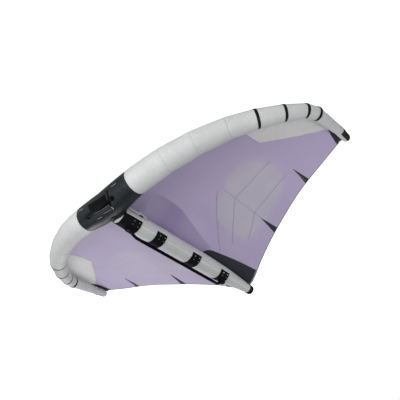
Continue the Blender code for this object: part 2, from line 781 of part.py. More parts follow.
def build_pads():
    """Four pads over the strut, each screwed to a plate that lies under it."""
    for number, (y_span, centre_y) in enumerate(zip(PAD_SPANS, PAD_SCREW_CENTRES), 1):
        pad_name, set_name = f"strut_pad_{number}", f"pad_screws_{number}"
        pad_lift = SEAT_GAP + PLATE_WALL + SEAT_GAP
        mesh = strut_saddle(pad_name, y_span, PAD_HALF_ANGLE, PAD_FACETS, pad_lift)
        pad = add_part(pad_name, mesh, "black_pad")
        solidify(pad, PAD_WALL, 1)
        plate_span = (centre_y - PLATE_LENGTH / 2, centre_y + PLATE_LENGTH / 2)
        mesh = strut_saddle(set_name, plate_span, PLATE_HALF_ANGLE, PLATE_FACETS, SEAT_GAP)
        plate = add_part(set_name, mesh, "screw_steel")
        solidify(plate, PLATE_WALL, 1)
        shank_length = pad_stack() - PLATE_WALL / 2 + SEAT_GAP
        for index, (point, outward) in enumerate(screw_places(centre_y, PLATE_WALL / 2)):
            place = facing(point, outward, Vector((0, 1, 0)))
            shank = place @ Matrix.Translation((0, 0, shank_length / 2))
            head_height = shank_length + SCREW_HEAD_HEIGHT / 2
            head = place @ Matrix.Translation((0, 0, head_height - SEAT_GAP / 4))
            hole = cylinder_mesh(
                f"pad_hole_{number}_{index}",
                SCREW_RADIUS + SEAT_GAP,
                shank_length + CUT_OVERRUN,
                SCREW_SIDES,
                shank,
            )
            boolean(pad, add_cutter(f"pad_hole_{number}_{index}", hole), "DIFFERENCE")
            add_screw(plate, f"screw_{number}_{index}", shank, shank_length, head)


def add_screw(plate, name, shank, shank_length, head):
    """Joins a screw's shank and head to its plate."""
    mesh = cylinder_mesh(name, SCREW_RADIUS, shank_length, SCREW_SIDES, shank)
    boolean(plate, add_cutter(name, mesh), "UNION")
    mesh = cylinder_mesh(name + "_head", SCREW_HEAD_RADIUS, SCREW_HEAD_HEIGHT, SCREW_SIDES, head)
    boolean(plate, add_cutter(name + "_head", mesh), "UNION")


def boom_end_height(y):
    return strut_radius(y) + pad_stack() + BOOM_RADIUS


def boom_points():
    """The boom's centreline: up from the front foot, straight aft, and down to the rear foot."""
    front_low, rear_low = boom_end_height(BOOM_FRONT_Y), boom_end_height(BOOM_REAR_Y)
    points = []
    for run, rise in BOOM_BEND_SHARES:
        height = front_low + (BOOM_HEIGHT - front_low) * rise
        points.append((0.0, BOOM_FRONT_Y + BOOM_FRONT_RUN * run, STRUT_AXIS_HEIGHT + height))
    for run, rise in reversed(BOOM_BEND_SHARES):
        height = rear_low + (BOOM_HEIGHT - rear_low) * rise
        points.append((0.0, BOOM_REAR_Y - BOOM_REAR_RUN * run, STRUT_AXIS_HEIGHT + height))
    return smooth_path(points, BOOM_SAMPLES)


def build_boom():
    """The rigid tube that the rider holds, and its two feet."""
    points = boom_points()
    tube = tube_mesh("boom_tube", points, BOOM_RADIUS)
    add_part("boom_tube", tube, "boom_black")
    feet = (("boom_front_foot", BOOM_FRONT_Y, points), ("boom_rear_foot", BOOM_REAR_Y, points[::-1]))
    for name, y, ordered in feet:
        seat = STRUT_AXIS_HEIGHT + strut_radius(y)
        place = Matrix.Translation((0, y, seat + FOOT_HEIGHT / 2))
        mesh = box_mesh(name, (FOOT_WIDTH, FOOT_LENGTH, FOOT_HEIGHT + 2 * pad_stack()), place)
        foot = add_part(name, mesh, "black_moulding")
        bevel(foot, FOOT_FILLET)
        under = (y - FOOT_LENGTH, y + FOOT_LENGTH)
        cut = strut_tube(name + "_seat", *under, pad_stack() + SEAT_GAP, 2, capped=True)
        boolean(foot, add_cutter(name + "_seat", cut), "DIFFERENCE")
        near = [Vector(point) for point in ordered[: 3 * BOOM_SAMPLES]]
        away = (near[0] - near[1]).normalized()
        lead = [near[0] + away * SEAT_GAP, *near]
        socket = tube_mesh(name + "_socket", lead, BOOM_RADIUS + SOCKET_CLEARANCE)
        boolean(foot, add_cutter(name + "_socket", socket), "DIFFERENCE")


def handle_axis():
    """The two ends of the line that the front handle swings about."""
    lift = GRIP_RADIUS + GRIP_STAND_OFF
    left, right = -HANDLE_ANCHOR_SHARE, HANDLE_ANCHOR_SHARE
    return on_edge(left, HANDLE_ANGLE, lift), on_edge(right, HANDLE_ANGLE, lift)


def build_front_handle():
    """The padded grip, hung on a pin at each end."""
    left, right = handle_axis()
    middle = (left + right) / 2
    outward = Vector((0, math.cos(HANDLE_ANGLE), math.sin(HANDLE_ANGLE)))
    half = (right - left).length / 2 - ANCHOR_BLOCK_LENGTH / 2 - GRIP_END_GAP
    points = [(-half * (1 - run), rise) for run, rise in GRIP_LIFT_SHARES]
    points += [(-x, rise) for x, rise in reversed(points[:-1])]
    route = [middle + Vector((x, 0, 0)) + outward * GRIP_LIFT * rise for x, rise in points]
    mesh = tube_mesh("front_handle_grip", smooth_path(route, GRIP_SAMPLES), GRIP_RADIUS)
    grip = add_part("front_handle_grip", mesh, "black_pad", middle)
    turn = Matrix.Rotation(math.pi / 2, 4, "Y")
    for side, sign, end in (("left", -1, left), ("right", 1, right)):
        tip = middle + Vector((sign * half, 0, 0))
        bore = cylinder_mesh(
            f"grip_bore_{side}",
            PIN_RADIUS + PIN_CLEARANCE,
            2 * (PIN_LENGTH + GRIP_END_GAP),
            PIN_SIDES,
            Matrix.Translation(tip) @ turn,
        )
        boolean(grip, add_cutter(f"grip_bore_{side}", bore), "DIFFERENCE")
        build_handle_anchor(f"front_handle_anchor_{side}", sign, end, outward)


def build_handle_anchor(name, sign, end, outward):
    """A sewn patch with the block and pin that carry one end of the grip."""

    def place(a, b):
        span = sign * HANDLE_ANCHOR_SHARE + ANCHOR_PATCH_SHARE * (2 * a - 1)
        angle = HANDLE_ANGLE + ANCHOR_PATCH_ANGLE * (1 - 2 * b)
        return on_edge(span, angle, SEAT_GAP)

    anchor = add_part(name, bent_grid(name, place, 3, 6), "black_moulding")
    solidify(anchor, ANCHOR_PATCH_WALL, 1)
    low = SEAT_GAP + ANCHOR_PATCH_WALL * ANCHOR_SINK_SHARE - GRIP_RADIUS - GRIP_STAND_OFF
    high = PIN_RADIUS * ANCHOR_TOP_SCALE
    depth = high - low
    block_place = facing(end, outward, Vector((1, 0, 0)))
    block_place = block_place @ Matrix.Translation((0, 0, (high + low) / 2))
    block = box_mesh(name + "_block", (ANCHOR_BLOCK_LENGTH, ANCHOR_BLOCK_WIDTH, depth), block_place)
    block_cutter = add_cutter(name + "_block", block)
    bevel(block_cutter, ANCHOR_FILLET)
    boolean(anchor, block_cutter, "UNION")
    reach = PIN_LENGTH + GRIP_END_GAP + ANCHOR_BLOCK_LENGTH / 2
    turn = Matrix.Rotation(math.pi / 2, 4, "Y")
    pin_place = Matrix.Translation(end - Vector((sign * reach / 2, 0, 0))) @ turn
    pin = cylinder_mesh(name + "_pin", PIN_RADIUS, reach, PIN_SIDES, pin_place)
    boolean(anchor, add_cutter(name + "_pin", pin), "UNION")


def valve_place():
    """The valve's seat on the leading edge, with Z outward and X towards the tip."""
    point = on_edge(VALVE_SHARE, VALVE_ANGLE)
    centre, _, forward, _, _ = edge_frame(VALVE_SHARE)
    return facing(point, point - centre, forward * VALVE_SHARE)


def build_valve():
    """The valve's glued base, the body that screws into it, and the hinged cap."""
    place = valve_place()
    near, far = GORE_SEAM_SHARES[:2]
    rows = rows_for((far - near) * ARM_LENGTH, ROW_LENGTH)
    skin = edge_tube("valve_skin_cut", -far, -near, SEAT_GAP, rows, capped=True)
    skin_cutter = add_cutter("valve_skin_cut", skin)
    stem = [
        (VALVE_NECK_RADIUS, VALVE_NECK_TOP),
        (VALVE_NECK_RADIUS, VALVE_FLANGE_TOP - JOIN_OVERLAP),
        (VALVE_STEM_RADIUS, VALVE_FLANGE_TOP - JOIN_OVERLAP),
        (VALVE_STEM_RADIUS, -VALVE_STEM_DEPTH),
        (VALVE_BORE_RADIUS, -VALVE_STEM_DEPTH),
        (VALVE_BORE_RADIUS, VALVE_NECK_TOP),
    ]
    stem_part = turned("valve_stem", stem, "valve_plastic", place, cutter=True)
    flange = [
        (VALVE_FLANGE_RADIUS, VALVE_FLANGE_TOP),
        (VALVE_FLANGE_RADIUS, -VALVE_FLANGE_DEPTH),
        (VALVE_BORE_RADIUS + MERGE_DISTANCE, -VALVE_FLANGE_DEPTH),
        (VALVE_BORE_RADIUS + MERGE_DISTANCE, VALVE_FLANGE_TOP),
    ]
    base = turned("valve_base", flange, "valve_plastic", place)
    boolean(base, skin_cutter, "DIFFERENCE")
    boolean(base, stem_part, "UNION")
    hole_radius = VALVE_STEM_RADIUS + SEAT_GAP
    hole = cylinder_mesh("valve_hole", hole_radius, 4 * VALVE_STEM_DEPTH, VALVE_STEPS, place)
    hole_cutter = add_cutter("valve_hole", hole)
    for carrier in ("leading_edge_gore_left_1", "leading_edge_bladder"):
        boolean(bpy.data.objects[carrier], hole_cutter, "DIFFERENCE")
    build_valve_body(place)
    build_valve_cap(place)


def build_valve_body(place):
    outer = VALVE_BORE_RADIUS - VALVE_BODY_CLEARANCE
    low, high = VALVE_NECK_TOP + SEAT_GAP, VALVE_NECK_TOP + SEAT_GAP + VALVE_RIM_HEIGHT
    profile = [
        (VALVE_NECK_RADIUS, high),
        (VALVE_NECK_RADIUS, low),
        (outer, low),
        (outer, -VALVE_BODY_DEPTH),
        (VALVE_MOUTH_RADIUS, -VALVE_BODY_DEPTH),
        (VALVE_MOUTH_RADIUS, high),
    ]
    turned("valve_body", profile, "valve_plastic", place)


def cap_hinge(place):
    """A point on the cap's hinge, at the valve's side nearest the tip."""
    height = VALVE_NECK_TOP + 2 * SEAT_GAP + VALVE_RIM_HEIGHT + CAP_HINGE_RADIUS
    return place @ Vector((CAP_HINGE_REACH, 0, height))


def build_valve_cap(place):
    """A disc with a short plug, turning on a rolled edge at one side."""
    low = VALVE_NECK_TOP + 2 * SEAT_GAP + VALVE_RIM_HEIGHT
    plug = VALVE_MOUTH_RADIUS - VALVE_BODY_CLEARANCE
    profile = [
        (0.0, low + CAP_THICKNESS),
        (CAP_RADIUS, low + CAP_THICKNESS),
        (CAP_RADIUS, low),
        (plug, low),
        (plug, low - CAP_PLUG_LENGTH),
        (0.0, low - CAP_PLUG_LENGTH),
    ]
    cap = turned("valve_cap", profile, "valve_plastic", place)
    roll_place = Matrix.Translation((CAP_HINGE_REACH, 0, low + CAP_HINGE_RADIUS))
    roll = cylinder_mesh(
        "cap_roll",
        CAP_HINGE_RADIUS,
        CAP_LUG_WIDTH,
        SCREW_SIDES,
        place @ roll_place @ Matrix.Rotation(math.pi / 2, 4, "X"),
    )
    boolean(cap, add_cutter("cap_roll", roll), "UNION")
    tab_length = CAP_HINGE_REACH - CAP_RADIUS * CAP_TAB_SHARE
    tab_size = (tab_length, CAP_LUG_WIDTH * CAP_TAB_SHARE, CAP_THICKNESS * CAP_TAB_SHARE)
    tab_place = Matrix.Translation((CAP_HINGE_REACH - tab_length / 2, 0, low + CAP_THICKNESS / 2))
    tab = box_mesh("cap_tab", tab_size, place @ tab_place)
    boolean(cap, add_cutter("cap_tab", tab), "UNION")
    move_origin(cap, cap_hinge(place))


def move_origin(obj, point):
    """Moves a turned piece's origin by turning about an offset axis instead."""
    frame = obj.matrix_basis.copy()
    offset = frame.inverted() @ point
    axis = bpy.data.objects.new(obj.name + "_axis", None)
    bpy.data.collections[WING_NAME].objects.link(axis)
    axis.parent = bpy.data.objects["wing_frame"]
    axis.matrix_basis = frame @ Matrix.Translation(offset)
    obj.parent = axis
    obj.matrix_basis = Matrix.Translation(-offset)


def hose_points():
    """Straight aft out of the leading edge and through the clamp, then round into the strut."""
    bend_y = CLAMP_Y + 2 * CLAMP_LENGTH
    corner_x = (HOSE_X + HOSE_END_X) / 2
    straight = [HOSE_START_Y, CLAMP_Y - CLAMP_LENGTH, CLAMP_Y, CLAMP_Y + CLAMP_LENGTH, bend_y]
    route = [(HOSE_X, y, HOSE_HEIGHT) for y in straight]
    across, back = HOSE_BEND_SHARES
    mid_x = HOSE_X + (corner_x - HOSE_X) * across
    route.append((mid_x, HOSE_END_Y - (HOSE_END_Y - bend_y) * back, HOSE_HEIGHT))
    route += [(corner_x, HOSE_END_Y, HOSE_HEIGHT), (HOSE_END_X, HOSE_END_Y, HOSE_HEIGHT)]
    return smooth_path(route, HOSE_SAMPLES)


def build_hose():
    """The hose that fills the strut from the leading edge."""
    points = hose_points()
    hose = add_part("air_hose", tube_mesh("air_hose", points, HOSE_RADIUS, caps=False), "hose_tube")
    solidify(hose, HOSE_WALL, -1)
    hole = add_cutter("hose_hole", tube_mesh("hose_hole", points, HOSE_RADIUS + SEAT_GAP))
    for carrier in ("leading_edge_centre_wrap", "leading_edge_bladder", "strut_sleeve", "strut_bladder"):
        boolean(bpy.data.objects[carrier], hole, "DIFFERENCE")
    build_clamp()


def lever_axis():
    """The lever's pivot, above the clamp and nearer its front."""
    height = HOSE_HEIGHT + CLAMP_HEIGHT / 2 + LEVER_THICKNESS / 2 + LEVER_GAP
    return Vector((HOSE_X, CLAMP_Y - CLAMP_LENGTH * PIVOT_SHARE, height))


def build_clamp():
    """A moulded block around the hose, with the ears and the pin that carry the lever."""
    name = "hose_clamp_body"
    centre = Vector((HOSE_X, CLAMP_Y, HOSE_HEIGHT))
    size = (CLAMP_WIDTH, CLAMP_LENGTH, CLAMP_HEIGHT)
    body = add_part(name, box_mesh(name, size, Matrix.Translation(centre)), "valve_plastic")
    bevel(body, CLAMP_FILLET)
    straight = [centre - Vector((0, CLAMP_LENGTH, 0)), centre + Vector((0, CLAMP_LENGTH, 0))]
    bore = tube_mesh("clamp_bore", straight, HOSE_RADIUS + SEAT_GAP)
    boolean(body, add_cutter("clamp_bore", bore), "DIFFERENCE")
    axis = lever_axis()
    ear_size = (LEVER_THICKNESS, CLAMP_LENGTH * EAR_LENGTH_SHARE, EAR_HEIGHT)
    for side, sign in (("left", -1), ("right", 1)):
        x = sign * (LEVER_WIDTH / 2 + LEVER_GAP + LEVER_THICKNESS / 2)
        ear_place = Matrix.Translation(axis + Vector((x, 0, -LEVER_THICKNESS / 2)))
        ear = box_mesh(f"clamp_ear_{side}", ear_size, ear_place)
        boolean(body, add_cutter(f"clamp_ear_{side}", ear), "UNION")
    pin_place = Matrix.Translation(axis) @ Matrix.Rotation(math.pi / 2, 4, "Y")
    pin_length = LEVER_WIDTH + 2 * LEVER_GAP + LEVER_THICKNESS
    pin = cylinder_mesh("lever_pin", LEVER_PIN_RADIUS, pin_length, SCREW_SIDES, pin_place)
    boolean(body, add_cutter("lever_pin", pin), "UNION")
    build_lever(axis, pin_place)


def build_lever(axis, pin_place):
    """The black lever that pinches the hose shut."""
    name = "hose_clamp_lever"
    arm = Matrix.Translation(axis + Vector((0, LEVER_LENGTH / 2 - LEVER_THICKNESS / 2, 0)))
    size = (LEVER_WIDTH, LEVER_LENGTH, LEVER_THICKNESS)
    lever = add_part(name, box_mesh(name, size, arm), "black_moulding", axis)
    bevel(lever, LEVER_FILLET)
    eye_radius = LEVER_PIN_RADIUS + SEAT_GAP
    eye = cylinder_mesh("lever_eye", eye_radius, LEVER_WIDTH + CUT_OVERRUN, SCREW_SIDES, pin_place)
    boolean(lever, add_cutter("lever_eye", eye), "DIFFERENCE")


def set_down(wing):
    """Pitches the wing to its resting angle, then lifts and centres it over the origin."""
    wing.rotation_euler.x = REST_PITCH
    bpy.context.view_layer.update()
    graph = bpy.context.evaluated_depsgraph_get()
    corners = []
    for obj in bpy.data.collections[WING_NAME].objects:
        if obj.type != "MESH":
            continue
        evaluated = obj.evaluated_get(graph)
        mesh = evaluated.to_mesh()
        points = np.array([evaluated.matrix_world @ vertex.co for vertex in mesh.vertices])
        evaluated.to_mesh_clear()
        corners += [points.min(axis=0), points.max(axis=0)]
    low, high = np.min(corners, axis=0), np.max(corners, axis=0)
    wing.location = (-(low[0] + high[0]) / 2, -(low[1] + high[1]) / 2, -low[2])


def main():
    clear_scene()
    parts = collection(WING_NAME)
    collection("cutters")
    wing = bpy.data.objects.new("wing_frame", None)
    parts.objects.link(wing)
    build_leading_edge()
    build_bladders()
    build_strut()
    build_canopy()
    build_battens()
    build_tail_patches()
    build_pads()
    build_boom()
    build_front_handle()
    build_valve()
    build_hose()
    set_down(wing)


main()
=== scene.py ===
"""Cloth, fittings, floor, light and camera for an inflatable wing lying with its rider's side up."""

import json
import math

import bmesh
import bpy
import numpy as np
from bpy.props import FloatProperty, FloatVectorProperty, PointerProperty
from mathutils import Matrix, Vector


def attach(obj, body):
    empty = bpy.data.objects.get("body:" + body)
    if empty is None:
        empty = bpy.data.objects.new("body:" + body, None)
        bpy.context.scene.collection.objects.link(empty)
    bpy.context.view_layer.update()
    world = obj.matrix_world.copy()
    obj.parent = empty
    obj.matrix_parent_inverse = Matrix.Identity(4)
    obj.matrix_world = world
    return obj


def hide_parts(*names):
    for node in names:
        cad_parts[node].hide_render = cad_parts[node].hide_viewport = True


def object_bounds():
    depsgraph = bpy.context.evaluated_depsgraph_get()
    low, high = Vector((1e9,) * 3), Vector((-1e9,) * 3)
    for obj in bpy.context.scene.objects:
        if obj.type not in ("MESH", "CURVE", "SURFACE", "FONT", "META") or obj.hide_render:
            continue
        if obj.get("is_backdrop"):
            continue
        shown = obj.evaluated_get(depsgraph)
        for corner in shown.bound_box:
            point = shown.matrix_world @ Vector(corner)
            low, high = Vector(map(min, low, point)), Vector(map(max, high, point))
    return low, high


bl_info = {
    "name": "Wingfoil wing",
    "version": (1, 0, 0),
    "blender": (4, 5, 0),
    "location": "View3D > Sidebar > Wing",
    "description": "Builds the cloth and the fittings of an inflatable wing",
    "category": "Add Mesh",
}

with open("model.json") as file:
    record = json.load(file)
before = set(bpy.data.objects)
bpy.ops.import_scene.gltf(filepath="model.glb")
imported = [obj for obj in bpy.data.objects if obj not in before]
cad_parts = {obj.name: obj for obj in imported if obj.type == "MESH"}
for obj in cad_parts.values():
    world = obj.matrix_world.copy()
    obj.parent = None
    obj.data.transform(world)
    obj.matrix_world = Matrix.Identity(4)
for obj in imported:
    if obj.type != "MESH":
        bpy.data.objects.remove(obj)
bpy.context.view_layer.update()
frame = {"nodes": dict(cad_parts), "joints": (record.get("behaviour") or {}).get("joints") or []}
TURN = math.tau

# The wing's own sizes, drawn level: x to the right arm, y aft, z towards the rider
HALF_SPAN, TIP_SWEEP, TIP_DROP, CENTRE_RADIUS = 1.69, 1.24, 0.422, 0.12
REST_PITCH = math.radians(15.525)
# Rows of x, y, z and radius along the right arm, as shares of the sizes above
LEADING_EDGE_SHARES = (
    (0.0, 0.0225, 0.0, 1.07),
    (0.08, 0.0195, 0.0075, 1.065),
    (0.15, 0.0155, 0.0275, 1.01),
    (0.2, 0.017, 0.047, 0.99),
    (0.533, 0.12, 0.336, 0.866),
    (0.808, 0.319, 0.609, 0.678),
    (0.908, 0.44, 0.739, 0.581),
    (0.978, 0.556, 0.844, 0.499),
    (1.0, 0.644, 0.893, 0.452),
    (0.996, 1.0, 1.0, 0.286),
)
TRAILING_CENTRE_Y, TRAILING_TIP_SWEEP = 1.824, 0.992
# Rows of x, forward reach and drop from the middle to the right tip, as shares
TRAILING_EDGE_SHARES = (
    (0.0, 0.0, 0.0047),
    (0.3817, 0.5354, 0.4384),
    (0.6988, 0.8603, 0.763),
    (0.9533, 1.0, 1.0403),
)
SIDES = (("left", -1), ("right", 1))
# Places along the leading edge are spans: 0 at the middle, 1 at the right tip, -1 at the left.
# The other seams of an arm lie under its first three bands, and its last bend under the fourth
GORE_SEAMS, LAST_SEAM, STRAIGHT_FROM = (0.277, 0.388, 0.504), 0.938, 0.7685
BAND_SPANS = {"left": (0.598, 0.6905, 0.767, 0.813), "right": (0.572, 0.684, 0.767, 0.813)}
# Rows of chord, reach in span and depth of the painted shade beside the strut: a darker violet where the
# strut and the leading edge shade the canopy
STRUT_SHADE_ROWS = (
    (0.0, 0.112, 0.1),
    (0.08, 0.116, 0.15),
    (0.14, 0.117, 0.35),
    (0.2, 0.118, 0.65),
    (0.27, 0.117, 1.0),
    (0.33, 0.112, 1.0),
    (0.4, 0.097, 0.75),
    (0.5, 0.075, 0.65),
    (0.6, 0.056, 0.5),
    (0.7, 0.03, 0.0),
)
BAND_THICKNESS, LAST_BAND_LIFT = 0.0012, 0.0034
SLEEVE_WALL, TAPE_WALL, CANOPY_WALL, PATCH_WALL = 0.0012, 0.0008, 0.0006, 0.0005
# How strongly the window and the canopy's seams show on the right arm's side
RIGHT_SIDE_SHOWN = 0.35
CAMBER, CAMBER_FRONT, REAR_CROWDING = 0.085, 0.8, 1.35
GATHER_DEPTH, GATHER_LENGTH, FLUTTER_DEPTH = 0.0022, 0.075, 0.004
# The first is the width of the soft edge of the painted strut shade
STRUT_SHADE_EDGE, WINDOW_EDGE = 0.007, 0.045
WRAP_ENDS = (-0.14, 0.119)
TIP_CAP_SHARE = 0.986
BLADDER_GAP = 0.012
BUMPER_ANGLES = (96, 264)
ATTACH_CENTRE, ATTACH_ARMS, ATTACH_BLEND = math.radians(-25), math.radians(-50), 0.15
STRUT_AXIS_HEIGHT = 0.044
STRUT_FRONT_Y, STRUT_TAIL_Y, STRUT_RADIUS = 0.05, 1.81, 0.088
STRUT_RADIUS_SHARES = ((0.0, 0.9), (0.2, 1.0), (0.46, 0.985), (0.69, 0.94), (0.862, 0.75), (1.0, 0.455))
TAIL_CAP_OVERLAP, TAIL_CAP_LENGTH, TAIL_CAP_WALL = 0.022, 0.06, 0.004
SEAT_GAP = 0.0003
# Rows of span and chord
REINFORCEMENT_EDGE = (
    (0.533, 0.14),
    (0.551, 0.298),
    (0.59, 0.332),
    (0.65, 0.382),
    (0.72, 0.43),
    (0.79, 0.455),
    (0.88, 0.35),
    (1.0, 0.47),
)
# Span in front, span at the rear, and the chord where it starts
BATTENS = {"inner": (0.315, 0.324, 0.848), "outer": (0.604, 0.636, 0.77)}
PAD_SPANS = ((0.144, 0.337), (0.508, 0.622), (0.946, 1.056), (1.33, 1.445))
PAD_LIFT = 0.0021
HANDLE_SPAN, HANDLE_ANGLE, HANDLE_LIFT = 0.066, math.radians(130), 0.0205
VALVE_SPAN = -0.203
BOOM_FRONT_Y, BOOM_REAR_Y, BOOM_HEIGHT, BOOM_RADIUS = 0.262, 1.406, 0.148, 0.0135
HOSE_X, HOSE_HEIGHT, HOSE_START_Y, HOSE_END_Y, HOSE_END_X = -0.114, 0.03, 0.08, 0.365, -0.058
CLAMP_Y, CLAMP_LENGTH = 0.275, 0.02


def smooth_path(points, samples=48):
    """Points along a smooth curve through the given ones, paced by the distances between them."""
    points = np.array(points, float)
    gaps = np.linalg.norm(np.diff(points[:, :3], axis=0), axis=1)
    knots = np.concatenate([[0.0], np.cumsum(gaps)])
    slopes = np.gradient(points, knots, axis=0)
    t = np.linspace(0.0, 1.0, samples, endpoint=False)[:, None]
    found = []
    for i, gap in enumerate(gaps):
        start = (1 + 2 * t) * (1 - t) ** 2 * points[i] + t * (1 - t) ** 2 * gap * slopes[i]
        end = t**2 * (3 - 2 * t) * points[i + 1] - t**2 * (1 - t) * gap * slopes[i + 1]
        found.append(start + end)
    return np.vstack(found + [points[-1:]])


def arc_lengths(path):
    steps = np.linalg.norm(np.diff(path[:, :3], axis=0), axis=1)
    return np.concatenate([[0.0], np.cumsum(steps)])


def at_share(path, share):
    """Points at these shares of a path's length."""
    lengths = arc_lengths(path)
    at = np.asarray(share) * lengths[-1]
    return np.stack([np.interp(at, lengths, column) for column in path.T], -1)


def edge_path():
    sizes = np.array((HALF_SPAN, TIP_SWEEP, -TIP_DROP, CENTRE_RADIUS))
    right = np.array(LEADING_EDGE_SHARES) * sizes
    left = right[:0:-1] * (-1, 1, 1, 1)
    return smooth_path(np.vstack([left, right]))


def trailing_path():
    x, forward, down = np.array(TRAILING_EDGE_SHARES).T
    y = TRAILING_CENTRE_Y + (TIP_SWEEP * TRAILING_TIP_SWEEP - TRAILING_CENTRE_Y) * forward
    return smooth_path(np.stack([HALF_SPAN * x, y, -TIP_DROP * down], -1))


def strut_profile():
    """The strut's y and radius along its length."""
    run, girth = np.array(STRUT_RADIUS_SHARES).T
    y = STRUT_FRONT_Y + (STRUT_TAIL_Y - STRUT_FRONT_Y) * run
    return smooth_path(np.stack([y, 0 * y, 0 * y, STRUT_RADIUS * girth], -1))[:, (0, 3)]


def smooth(share):
    return share**2 * (3 - 2 * share)


def quarter_round(share):
    return np.sqrt(np.clip(1 - (1 - np.minimum(share, 1)) ** 2, 0, 1))


def soft_edge(away):
    """The rounded rim of a thick cloth, from 0 at its edge to 1 within 3 mm."""
    return np.sqrt(np.clip(away / 0.003, 0, 1))


def crease(away, depth, width):
    """A smooth dip this deep along a line, from the distance to it."""
    return depth * np.exp(-((away / width) ** 2))


def unit(vectors):
    return vectors / np.linalg.norm(vectors, axis=-1, keepdims=True)


EDGE_PATH = edge_path()
TRAILING_PATH = trailing_path()
STRUT_PROFILE = strut_profile()
ARM_LENGTH = arc_lengths(EDGE_PATH)[-1] / 2
SPANS = np.linspace(-1, 1, 1601)


def edge_table():
    """Rows of centre, radius, and the directions along the edge, aft and towards the rider."""
    rows = at_share(EDGE_PATH, (SPANS + 1) / 2)
    along = unit(np.gradient(rows[:, :3], SPANS, axis=0))
    aft = unit(np.cross([0.0, 0.0, 1.0], along))
    return np.hstack([rows, along, aft, np.cross(along, aft)])


EDGE = edge_table()


def edge_at(span):
    """The edge's row at these spans: 0:3 centre, 3 radius, 4:7 along, 7:10 aft, 10:13 rider."""
    return np.stack([np.interp(span, SPANS, column) for column in EDGE.T], -1)


def on_edge(span, angle, lift=0.0, tightness=0.0):
    """Points on the tube: angle 0 faces aft and a quarter turn the rider."""
    span, angle, lift = np.broadcast_arrays(span, angle, lift)
    here = edge_at(span)
    centre = here[..., :3] - np.asarray(tightness)[..., None] * here[..., 7:10]
    reach = (here[..., 3] + lift)[..., None]
    return centre + reach * (
        np.cos(angle)[..., None] * here[..., 7:10] + np.sin(angle)[..., None] * here[..., 10:13]
    )


def strut_radius(y):
    return np.interp(y, *STRUT_PROFILE.T)


def tail_cap_radii():
    inner = float(strut_radius(STRUT_TAIL_Y - TAIL_CAP_OVERLAP)) + SEAT_GAP
    return inner, inner + TAIL_CAP_WALL


def on_strut(y, angle, lift=0.0):
    """Points on the strut: angle 0 faces the rider and positive angles the right arm."""
    y, angle, lift = np.broadcast_arrays(y, angle, lift)
    radius = strut_radius(y) + lift
    return np.stack([radius * np.sin(angle), y, STRUT_AXIS_HEIGHT + radius * np.cos(angle)], -1)


def canopy_point(span, chord):
    """Points of the canopy's rider side: span from -1 to 1, chord from 0 at the front."""
    span, chord = np.broadcast_arrays(np.asarray(span, float), np.asarray(chord, float))
    half = np.abs(span)
    angle = ATTACH_CENTRE + (ATTACH_ARMS - ATTACH_CENTRE) * np.minimum(half / ATTACH_BLEND, 1)
    front = on_edge(half, angle, 0.0012)
    rear = at_share(TRAILING_PATH, 1 - np.maximum(1 - half, 0) ** REAR_CROWDING)
    point = front + (rear - front) * chord[..., None]
    inside = np.clip(chord, 0, 1)
    camber = 1.9 * inside**CAMBER_FRONT * (1 - inside)
    point[..., 2] -= CAMBER * np.linalg.norm(rear - front, axis=-1) * camber
    near = np.clip(1 - point[..., 0] / 0.3, 0, 1)
    hold = smooth(near) * np.clip(chord / 0.12, 0, 1)
    y = point[..., 1]
    covered = np.where(y < STRUT_TAIL_Y - TAIL_CAP_OVERLAP, strut_radius(y), tail_cap_radii()[1])
    seat = STRUT_AXIS_HEIGHT - covered - 0.0006
    point[..., 2] += hold * (seat - point[..., 2])
    point[..., 0] = np.copysign(point[..., 0], span)
    return point


def canopy_normal(span, chord):
    step = 0.002
    across = canopy_point(span + step, chord) - canopy_point(span - step, chord)
    aft = canopy_point(span, chord + step) - canopy_point(span, chord - step)
    return unit(np.cross(across, aft))


def canopy_relief(span, chord):
    """How far the stretched cloth stands off its even surface: gathers in front, flutter at the rear."""
    half = np.abs(span)
    folds = np.sin(half * ARM_LENGTH * TURN / GATHER_LENGTH)
    gather = GATHER_DEPTH * folds * np.exp(-chord / 0.035) * np.clip(half / 0.06, 0, 1)
    wave = half * TURN / BATTENS["outer"][1]
    flutter = FLUTTER_DEPTH * (np.sin(wave) + 0.4 * np.sin(2 * wave)) * np.exp((chord - 1) / 0.07)
    return (gather + flutter) * np.clip((1 - half) / 0.05, 0, 1)


def on_canopy(span, chord, lift=0.0):
    """Points a little above the canopy's cloth, which follow its gathers and flutter."""
    span, chord, lift = np.broadcast_arrays(span, chord, lift)
    rise = canopy_relief(span, chord) + lift
    return canopy_point(span, chord) + canopy_normal(span, chord) * rise[..., None]


def strut_shade_depth(half, chord):
    """How deep the painted shade of the strut lies on the canopy beside it, from 0 to 1."""
    chords, reaches, depths = np.array(STRUT_SHADE_ROWS).T
    inside = np.clip((np.interp(chord, chords, reaches) - half) / STRUT_SHADE_EDGE + 0.5, 0, 1)
    return smooth(inside) * np.interp(chord, chords, depths)


def chord_length(span):
    return np.linalg.norm(canopy_point(span, 1) - canopy_point(span, 0), axis=1)


def handle_ends():
    return [on_edge(sign * HANDLE_SPAN, HANDLE_ANGLE, HANDLE_LIFT) for sign in (-1, 1)]


def joint(name):
    return next(row for row in frame["joints"] if row["name"] == name)


def wing_place():
    """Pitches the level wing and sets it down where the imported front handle's hinge is."""
    turn = Matrix.Rotation(REST_PITCH, 4, "X")
    left, right = handle_ends()
    middle = turn @ Vector((left + right) / 2)
    return Matrix.Translation(Vector(joint("front_handle_hinge")["pos_m"]) - middle) @ turn


WING_PLACE = wing_place()


# Shader helpers


def plug(tree, socket, value):
    """Links a node's output to this socket, or sets a plain value on it."""
    if isinstance(value, bpy.types.NodeSocket):
        tree.links.new(value, socket)
    else:
        socket.default_value = value


def shader_node(tree, kind, inputs=None, **settings):
    made = tree.nodes.new("ShaderNode" + kind)
    for name, value in settings.items():
        setattr(made, name, value)
    for name, value in (inputs or {}).items():
        plug(tree, made.inputs[name], value)
    return made


